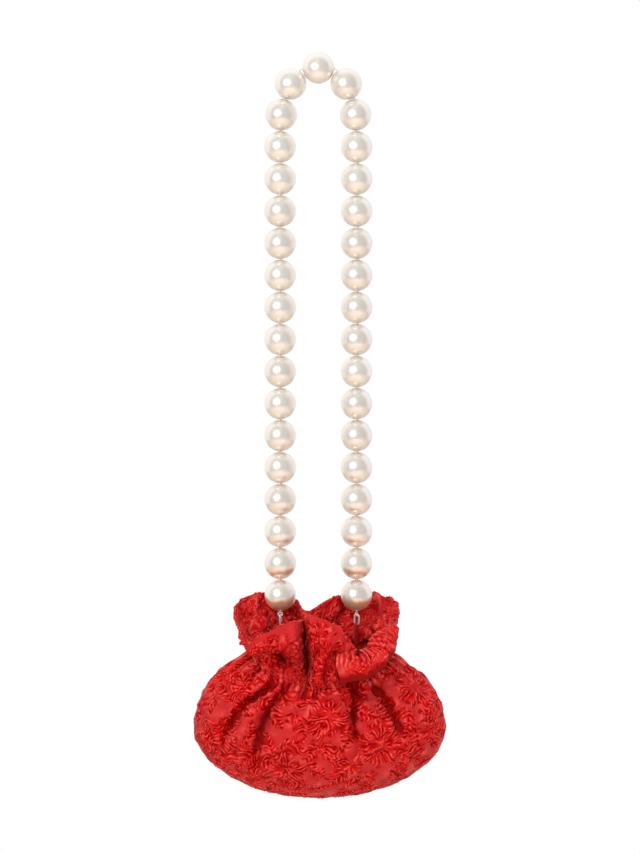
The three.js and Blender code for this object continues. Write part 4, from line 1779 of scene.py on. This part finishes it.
def cloud_group(finer: float = 9.0) -> bpy.types.NodeTree:
    """Soft clouds of unevenness and a finer grain, from 0 to 1.

    Args:
        finer: how many times finer the grain is.

    Returns:
        The group.
    """
    tree = new_group(
        "soft_clouds",
        {"Vector": ("NodeSocketVector", None), "Scale": ("NodeSocketFloat", 40.0)},
        {"Cloud": "NodeSocketFloat", "Grain": "NodeSocketFloat"},
    )
    nodes = NodeTree(tree)
    given = nodes.add("NodeGroupInput").outputs
    cloud = nodes.add("TexNoise", {"Vector": given["Vector"], "Scale": given["Scale"], "Detail": 3.0})
    scale = nodes.math("MULTIPLY", given["Scale"], finer)
    grain = nodes.add("TexNoise", {"Vector": given["Vector"], "Scale": scale, "Detail": 2.0})
    nodes.add("NodeGroupOutput", {"Cloud": cloud.outputs["Fac"], "Grain": grain.outputs["Fac"]})
    return tree


@dataclass(frozen=True)
class Effects:
    """Node groups that more than one finish uses."""

    weave: bpy.types.NodeTree
    clouds: bpy.types.NodeTree


def start_material(name: str) -> tuple[bpy.types.Material, NodeTree, bpy.types.Node]:
    """Make a material with one Principled shader.

    Args:
        name: the material's name.

    Returns:
        The material, its nodes and the shader.
    """
    material = bpy.data.materials.new(name)
    material.use_nodes = True
    nodes = NodeTree(material.node_tree)
    shader = material.node_tree.nodes["Principled BSDF"]
    return material, nodes, shader


@dataclass(frozen=True)
class SilkFinish:
    """Red cloque silk: satin ground and puckered figures, with a painted highlight on the crests and painted
    shade in the creases.
    """

    ground: Colour = (0.54, 0.024, 0.026, 1)
    figure: Colour = (0.55, 0.006, 0.007, 1)
    # painted highlight on the crests of the puckers
    crest: Colour = (0.95, 0.112, 0.094, 1)
    # painted shade in the creases and hollows
    crease: Colour = (0.24, 0.0001, 0.0003, 1)
    shine: Colour = (1.0, 0.12, 0.10, 1)
    sheen: Colour = (1.0, 0.3, 0.22, 1)
    threads: float = 7.0
    cloud_scale: float = 60.0
    crinkle_scale: float = 5.0
    painted_highlight_limits: tuple[float, float] = (0.5, 0.85)
    painted_shade_limits: tuple[float, float] = (0.5, 0.15)
    painted_shade_depth: float = 0.85
    tones: tuple[float, float] = (0.4, 0.8)
    roughness: tuple[float, float] = (0.3, 0.44)

    def crinkled(
        self, nodes: NodeTree, uv: bpy.types.NodeSocket, puff: bpy.types.NodeSocket
    ) -> bpy.types.NodeSocket:
        """Fine crinkles on the puckered figures.

        Args:
            nodes: the material's nodes.
            uv: places on the cloth.
            puff: where the cloth puckers.

        Returns:
            1 on smooth cloth, down to 0 in a crinkle.
        """
        inputs = {"Vector": uv, "Scale": self.crinkle_scale, "Detail": 2.0, "Distortion": 0.8}
        noise = nodes.add("TexNoise", inputs).outputs["Fac"]
        crinkle = nodes.math("ABSOLUTE", nodes.math("MULTIPLY_ADD", noise, 4.0, -2.0))
        crinkle = nodes.math("POWER", nodes.math("MINIMUM", crinkle, 1.0), 0.6)
        return nodes.math("MULTIPLY_ADD", crinkle, puff, nodes.math("SUBTRACT", 1.0, puff))

    def material(self, effects: Effects) -> bpy.types.Material:
        """Build the silk's material.

        Args:
            effects: the shared node groups.

        Returns:
            The material.
        """
        material, nodes, shader = start_material("red_cloque_silk")
        uv = nodes.add("UVMap", uv_map="cloth").outputs["UV"]
        puff = nodes.add("Attribute", attribute_name="puff").outputs["Fac"]
        painted_light = nodes.add("Attribute", attribute_name="painted_light").outputs["Fac"]
        place = nodes.add("TexCoord").outputs["Object"]
        weave = nodes.add("Group", {"Vector": uv, "Threads": self.threads}, node_tree=effects.weave)
        clouds = nodes.add("Group", {"Vector": place, "Scale": self.cloud_scale}, node_tree=effects.clouds)
        crinkle = self.crinkled(nodes, uv, puff)
        # painted highlight on the crests and painted shade in the hollows, read from the painted light
        top = nodes.math("MULTIPLY", nodes.ease(painted_light, self.painted_highlight_limits), crinkle)
        depth = nodes.math("MULTIPLY", nodes.ease(painted_light, self.painted_shade_limits), self.painted_shade_depth)
        colour = nodes.mix(puff, self.ground, self.figure)
        colour = nodes.mix(top, colour, self.crest)
        colour = nodes.mix(depth, colour, self.crease)
        # random tone of the cloth, times painted shade in the hollows of its crossed threads
        tone = nodes.math("MULTIPLY_ADD", clouds.outputs["Cloud"], *self.tones)
        tone = nodes.math("MULTIPLY", tone, weave.outputs["Shade"])
        grey = nodes.add("CombineColor", {0: tone, 1: tone, 2: tone}).outputs[0]
        fine = nodes.add("Bump", {"Height": weave.outputs["Height"], "Strength": 0.3, "Distance": 0.0002})
        fine = fine.outputs["Normal"]
        folds = nodes.add("Bump", {"Height": crinkle, "Strength": 0.35, "Distance": 0.0004, "Normal": fine})
        inputs = {
            "Base Color": nodes.mix(1.0, colour, grey, "MULTIPLY"),
            "Roughness": nodes.math("MULTIPLY_ADD", depth, *self.roughness),
            "Normal": folds.outputs["Normal"],
            "Specular IOR Level": 0.3,
            "Specular Tint": self.shine,
            "Sheen Weight": 0.04,
            "Sheen Roughness": 0.4,
            "Sheen Tint": self.sheen,
        }
        nodes.feed(shader, inputs)
        return material


@dataclass(frozen=True)
class PearlFinish:
    """Imitation pearl: warm cream lacquer with a soft deep gloss, and a painted warm reflection of the red
    cloth on its underside.
    """

    cream: Colour = (0.84, 0.78, 0.71, 1)
    shell: Colour = (0.90, 0.86, 0.80, 1)
    painted_cloth_reflection: Colour = (0.95, 0.52, 0.30, 1)
    cloud_scale: float = 120.0
    below_limits: tuple[float, float] = (-0.05, -0.5)
    roughness: tuple[float, float] = (0.08, 0.27)

    def material(self, effects: Effects) -> bpy.types.Material:
        """Build the pearls' material, with a painted warm reflection of the red cloth on their undersides.

        Args:
            effects: the shared node groups.

        Returns:
            The material.
        """
        material, nodes, shader = start_material("cream_pearl")
        place = nodes.add("TexCoord").outputs["Object"]
        tone = nodes.add("Attribute", attribute_name="tone").outputs["Fac"]
        painted_reflection_share = nodes.add("Attribute", attribute_name="painted_reflection_share").outputs["Fac"]
        clouds = nodes.add("Group", {"Vector": place, "Scale": self.cloud_scale}, node_tree=effects.clouds)
        cloud = clouds.outputs["Cloud"]
        share = nodes.math("MULTIPLY_ADD", cloud, 0.6, tone, clamp=True)
        colour = nodes.mix(share, self.cream, self.shell)
        # painted reflection of the red cloth: stronger towards the underside, scaled by each pearl's share
        facing = nodes.add("SeparateXYZ", {0: nodes.add("TexCoord").outputs["Normal"]}).outputs["Z"]
        below = nodes.math("MULTIPLY", nodes.ease(facing, self.below_limits), painted_reflection_share)
        inputs = {
            "Base Color": nodes.mix(below, colour, self.painted_cloth_reflection),
            "Roughness": nodes.math("MULTIPLY_ADD", cloud, *self.roughness),
            "Metallic": 0.6,
            "Specular IOR Level": 0.7,
            "Coat Weight": 0.5,
            "Coat Roughness": 0.13,
        }
        nodes.feed(shader, inputs)
        return material


@dataclass(frozen=True)
class SilverFinish:
    """Bright plated wire with a faint tarnish."""

    bright: Colour = (0.97, 0.96, 0.94, 1)
    dull: Colour = (0.82, 0.79, 0.76, 1)
    cloud_scale: float = 700.0
    roughness: tuple[float, float] = (0.2, 0.2)

    def material(self, effects: Effects) -> bpy.types.Material:
        """Build the wire's material.

        Args:
            effects: the shared node groups.

        Returns:
            The material.
        """
        material, nodes, shader = start_material("bright_silver")
        place = nodes.add("TexCoord").outputs["Object"]
        clouds = nodes.add("Group", {"Vector": place, "Scale": self.cloud_scale}, node_tree=effects.clouds)
        inputs = {
            "Base Color": nodes.mix(clouds.outputs["Cloud"], self.bright, self.dull),
            "Roughness": nodes.math("MULTIPLY_ADD", clouds.outputs["Grain"], *self.roughness),
            "Metallic": 0.5,
        }
        nodes.feed(shader, inputs)
        return material


@dataclass(frozen=True)
class ThreadFinish:
    """Plain twisted thread, with painted shade where its crossed threads sink."""

    name: str
    light: Colour
    dark: Colour
    threads: float = 900.0

    def material(self, effects: Effects) -> bpy.types.Material:
        """Build the thread's material.

        Args:
            effects: the shared node groups.

        Returns:
            The material.
        """
        material, nodes, shader = start_material(self.name)
        place = nodes.add("TexCoord").outputs["Object"]
        weave = nodes.add("Group", {"Vector": place, "Threads": self.threads}, node_tree=effects.weave)
        height = weave.outputs["Height"]
        bump = nodes.add("Bump", {"Height": height, "Strength": 0.4, "Distance": 0.0001})
        inputs = {
            # darker where the crossed threads sink: painted shade in their hollows
            "Base Color": nodes.mix(height, self.dark, self.light),
            "Roughness": 0.7,
            "Normal": bump.outputs["Normal"],
        }
        nodes.feed(shader, inputs)
        return material


STRING_FINISH = ThreadFinish("cream_thread", light=(0.93, 0.90, 0.85, 1), dark=(0.80, 0.75, 0.69, 1))
LOOP_FINISH = ThreadFinish("red_loop", light=(0.62, 0.014, 0.012, 1), dark=(0.40, 0.006, 0.007, 1))


@dataclass(frozen=True)
class Finishes:
    """The materials of the whole object."""

    silk: bpy.types.Material
    pearl: bpy.types.Material
    silver: bpy.types.Material
    string: bpy.types.Material
    loop: bpy.types.Material

    @classmethod
    def make(cls) -> "Finishes":
        """Build every finish from the shared effects.

        Returns:
            The materials.
        """
        effects = Effects(weave_group(), cloud_group())
        finishes = (SilkFinish(), PearlFinish(), SilverFinish(), STRING_FINISH, LOOP_FINISH)
        return cls(*(finish.material(effects) for finish in finishes))


def settle(obj: bpy.types.Object, material: bpy.types.Material, slot: Slot, *nodes: str) -> bpy.types.Object:
    """Dress a finished piece and set it in the frame.

    Args:
        obj: the piece.
        material: its finish.
        slot: the part's material slot; not used.
        nodes: the solids that it stands for.

    Returns:
        The piece.
    """
    obj.data.materials.clear()
    obj.data.materials.append(material)
    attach(obj, BODY)
    if nodes:
        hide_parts(*nodes)
    log.info("%s: %d faces", obj.name, len(obj.data.polygons))
    return obj


def dress(name: str, material: bpy.types.Material) -> None:
    """Finish a solid of the frame that stays as it is.

    Args:
        name: the solid's name.
        material: its finish.
    """
    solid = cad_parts[name]
    solid.data.materials.clear()
    solid.data.materials.append(material)
    log.info("%s: finished as it is", name)


def node_points(name: str) -> np.ndarray:
    """Corners of a solid of the frame.

    Args:
        name: the solid's name.

    Returns:
        Places in metres, with the axes last.
    """
    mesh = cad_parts[name].data
    points = np.empty(len(mesh.vertices) * 3, np.float32)
    mesh.vertices.foreach_get("co", points)
    return points.reshape(-1, 3).astype(float)


@dataclass
class PearlString:
    """Large drilled pearls on a thread."""

    count: int = 35
    bore: float = 1.1
    around: int = 40
    upward: int = 26
    seed: int = 4
    rim_round: float = 0.25
    tones: tuple[float, float] = (0.0, 0.45)
    least_painted_reflection: float = 0.12
    most_painted_reflection: float = 0.83
    painted_reflection_kept: float = 0.45

    def names(self) -> list[str]:
        """Names of the pearls, from the left end over the top to the right end."""
        return [f"pearl_{i + 1:02d}" for i in range(self.count)]

    def drilled(self, radius: float) -> bpy.types.Mesh:
        """A round pearl with a rounded bore along Z.

        Args:
            radius: the pearl's radius in metres.

        Returns:
            Its mesh, at the origin.
        """
        bm = bmesh.new()
        bmesh.ops.create_uvsphere(bm, u_segments=self.around, v_segments=self.upward, radius=radius)
        height = math.sqrt(radius**2 - (self.bore * MM) ** 2)
        for sign in (1, -1):
            bmesh.ops.bisect_plane(
                bm,
                geom=[*bm.verts, *bm.edges, *bm.faces],
                dist=1e-7,
                plane_co=(0, 0, sign * height),
                plane_no=(0, 0, sign),
                clear_outer=True,
            )
        rims = [e for e in bm.edges if e.is_boundary]
        bmesh.ops.bridge_loops(bm, edges=rims)
        bmesh.ops.bevel(
            bm,
            geom=rims,
            offset=self.rim_round * MM,
            segments=3,
            profile=0.5,
            affect="EDGES",
            material=-1,
        )
        bmesh.ops.recalc_face_normals(bm, faces=bm.faces)
        mesh = bpy.data.meshes.new("drilled_pearl")
        bm.to_mesh(mesh)
        bm.free()
        mesh.shade_smooth()
        return mesh

    def build(self, finishes: Finishes) -> None:
        """Make every pearl in its place and dress the thread.

        Args:
            finishes: the materials.
        """
        rng = np.random.default_rng(self.seed)
        points = [node_points(name) for name in self.names()]
        centres = [Vector(corners.min(0) + corners.max(0)) / 2 for corners in points]
        radius = max(np.ptp(corners, axis=0).max() for corners in points) / 2
        pattern = self.drilled(radius)
        upright = Vector((0, 0, 1))
        for i, name in enumerate(self.names()):
            inner = 0 < i < self.count - 1
            way = centres[i + 1] - centres[i - 1] if inner else upright
            turn = way.to_track_quat("Z", "Y").to_matrix().to_4x4()
            mesh = pattern.copy()
            mesh.name = f"round_{name}"
            mesh.transform(Matrix.Translation(centres[i]) @ turn)
            # painted reflection of the red cloth: strongest on the end pearls that hang in the mouth, weaker
            # up the string
            from_cloth = min(i, self.count - 1 - i)
            painted_reflection = self.least_painted_reflection + self.most_painted_reflection * self.painted_reflection_kept**from_cloth
            for layer, value in (("tone", rng.uniform(*self.tones)), ("painted_reflection_share", painted_reflection)):
                values = np.full(len(mesh.vertices), value, np.float32)
                mesh.attributes.new(layer, "FLOAT", "POINT").data.foreach_set("value", values)
            settle(link(bpy.data.objects.new(f"round_{name}", mesh)), finishes.pearl, Slot.PEARL, name)
        dress("string", finishes.string)


@dataclass
class StrapEnd:
    """Wire eye, oval link and sewn loop that hold one end of the string."""

    side: str
    ring_steps: int = 40
    wire_sides: int = 12
    link_wire: float = 0.6
    loop_wire: float = 0.75
    middle: float = 1e-6

    def oval(self, name: str, points: np.ndarray, wire: float) -> bpy.types.Object:
        """A smooth ring that follows a faceted one.

        Args:
            name: the new piece's name.
            points: corners of the faceted ring in metres.
            wire: radius of the wire in metres.

        Returns:
            The new ring.
        """
        centre = points.mean(0)
        spread = points - centre
        _, _, axes = np.linalg.svd(spread, full_matrices=False)
        long_way, wide_way, normal = axes
        long_half = np.abs(spread @ long_way).max() - wire
        wide_half = np.abs(spread @ wide_way).max() - wire
        bm = bmesh.new()
        bmesh.ops.create_circle(bm, segments=self.wire_sides, radius=wire)
        bmesh.ops.rotate(bm, verts=bm.verts, matrix=Matrix.Rotation(math.pi / 2, 3, "X"))
        bmesh.ops.translate(bm, verts=bm.verts, vec=(wide_half, 0, 0))
        bmesh.ops.spin(
            bm,
            geom=[*bm.verts, *bm.edges],
            cent=(0, 0, 0),
            axis=(0, 0, 1),
            angle=FULL_TURN,
            steps=self.ring_steps,
            use_merge=True,
        )
        straight = long_half - wide_half
        upper = [v for v in bm.verts if v.co.y > self.middle]
        lower = [v for v in bm.verts if v.co.y < -self.middle]
        bmesh.ops.translate(bm, verts=upper, vec=(0, straight, 0))
        bmesh.ops.translate(bm, verts=lower, vec=(0, -straight, 0))
        turn = Matrix((wide_way, long_way, np.cross(wide_way, long_way))).transposed()
        bmesh.ops.transform(bm, matrix=Matrix.Translation(centre) @ turn.to_4x4(), verts=bm.verts)
        bmesh.ops.recalc_face_normals(bm, faces=bm.faces)
        mesh = bpy.data.meshes.new(name)
        bm.to_mesh(mesh)
        bm.free()
        mesh.shade_smooth()
        return link(bpy.data.objects.new(name, mesh))

    def build(self, finishes: Finishes) -> None:
        """Make the smooth link and loop, and dress the eye.

        Args:
            finishes: the materials.
        """
        link_name = f"link_{self.side}"
        made = self.oval(f"oval_{link_name}", node_points(link_name), self.link_wire * MM)
        settle(made, finishes.silver, Slot.SILVER, link_name)
        loop_name = f"anchor_{self.side}"
        made = self.oval(f"sewn_{loop_name}", node_points(loop_name), self.loop_wire * MM)
        settle(made, finishes.loop, Slot.SILK, loop_name)
        dress(f"end_eye_{self.side}", finishes.silver)


@dataclass(frozen=True)
class Lamp:
    """One soft light: where it hangs about the pouch, its size and its power in watts."""

    name: str
    azimuth_deg: float
    elevation_deg: float
    distance: float
    width: float
    height: float
    power: float
    mirrored: bool = True


LAMPS = (
    Lamp("key", -28, 18, 1500, 1050, 1050, 9.5),
    Lamp("fill", 36, 4, 1500, 800, 1500, 3.5, False),
    Lamp("top", -8, 66, 1500, 900, 900, 9, False),
    Lamp("front", 4, 10, 2300, 700, 700, 18, False),
)


@dataclass(frozen=True)
class Studio:
    """White room, soft key light, pale floor and the camera."""

    target: tuple[float, float, float] = (1.0, 0.0, -216.8)
    distance: float = 2500.0
    elevation_deg: float = 2.0
    mm_per_pixel: float = 0.634
    sensor: float = 36.0
    floor_drop: float = 1000.0
    floor_radius: float = 2200.0
    lamp_aim: tuple[float, float, float] = (0.0, 0.0, -280.0)
    view_end: float = 20000.0
    floor_sides: int = 96
    floor_colour: Colour = (0.78, 0.69, 0.60, 1)
    room_light: float = 0.95
    front_light: float = 0.28
    front_limits: tuple[float, float] = (-0.35, 0.1)

    def camera(self) -> None:
        """Set the camera square to the pouch, a little above it."""
        data = bpy.data.cameras.new("camera")
        data.sensor_width = self.sensor
        data.lens = self.sensor * self.distance / (IMAGE_HEIGHT * self.mm_per_pixel)
        data.clip_end = self.view_end * MM
        obj = link(bpy.data.objects.new("camera", data))
        lift = math.radians(self.elevation_deg)
        away = Vector((0.0, -math.cos(lift), math.sin(lift)))
        obj.location = (Vector(self.target) + away * self.distance) * MM
        obj.rotation_mode = "QUATERNION"
        obj.rotation_quaternion = (-away).to_track_quat("-Z", "Y")
        bpy.context.scene.camera = obj

    def lamp(self, lamp: Lamp) -> None:
        """Hang one soft light and aim it at the pouch.

        Args:
            lamp: the light.
        """
        data = bpy.data.lights.new(lamp.name, "AREA")
        data.shape = "ELLIPSE"
        data.size = lamp.width * MM
        data.size_y = lamp.height * MM
        data.energy = lamp.power
        obj = link(bpy.data.objects.new(lamp.name, data))
        obj.visible_glossy = lamp.mirrored
        a = math.radians(lamp.azimuth_deg)
        e = math.radians(lamp.elevation_deg)
        way = Vector((math.sin(a) * math.cos(e), -math.cos(a) * math.cos(e), math.sin(e)))
        obj.location = (Vector(self.lamp_aim) + way * lamp.distance) * MM
        obj.rotation_mode = "QUATERNION"
        obj.rotation_quaternion = (-way).to_track_quat("-Z", "Y")

    def room(self) -> None:
        """White surroundings that light the object softly."""
        world = bpy.data.worlds.new("white_room")
        world.use_nodes = True
        nodes = NodeTree(world.node_tree)
        way = nodes.add("TexCoord").outputs["Generated"]
        back = nodes.add("SeparateXYZ", {0: way}).outputs["Y"]
        light = nodes.ease(back, self.front_limits, (self.front_light, self.room_light))
        seen = nodes.add("LightPath").outputs["Is Camera Ray"]
        background = world.node_tree.nodes["Background"]
        nodes.feed(background, {"Color": (1, 1, 1, 1), "Strength": nodes.math("MAXIMUM", light, seen)})
        bpy.context.scene.world = world
        bpy.context.scene.view_settings.view_transform = "Standard"

    def floor(self) -> None:
        """Lay a pale round floor well below the pouch."""
        bm = bmesh.new()
        bmesh.ops.create_circle(bm, cap_ends=True, segments=self.floor_sides, radius=self.floor_radius * MM)
        bmesh.ops.translate(bm, verts=bm.verts, vec=(0, 0, -self.floor_drop * MM))
        mesh = bpy.data.meshes.new("floor")
        bm.to_mesh(mesh)
        bm.free()
        material, nodes, shader = start_material("pale_floor")
        nodes.feed(shader, {"Base Color": self.floor_colour, "Roughness": 0.9})
        mesh.materials.append(material)
        link(bpy.data.objects.new("floor", mesh))

    def build(self) -> None:
        """Set up the whole studio."""
        self.camera()
        for lamp in LAMPS:
            self.lamp(lamp)
        self.room()
        self.floor()


def main() -> None:
    """Build the pouch and its studio."""
    logging.basicConfig(level=logging.INFO, format="%(name)s: %(message)s")
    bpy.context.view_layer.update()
    finishes = Finishes.make()
    form = PouchForm()
    front = Panel(width=240.0, height=200.0, seed=11, spots=FRONT_SPOTS)
    back = Panel(width=240.0, height=200.0, seed=23)
    mouth = Panel(width=400.0, height=140.0, seed=37, cover=2.6)
    crumple = Crumple(form)
    cloth_pieces = (
        (PouchPanel(form, Face.FRONT, columns=400, rows=236), front),
        (PouchPanel(form, Face.BACK, columns=300, rows=200), back),
        (MouthRuffle(form), mouth),
    )
    for part, cloth in cloth_pieces:
        piece = settle(part.build(cloth, crumple), finishes.silk, Slot.SILK, SHELL)
    PearlString().build(finishes)
    for side in ("left", "right"):
        StrapEnd(side).build(finishes)
    Studio().build()


if __name__ == "__main__":
    main()
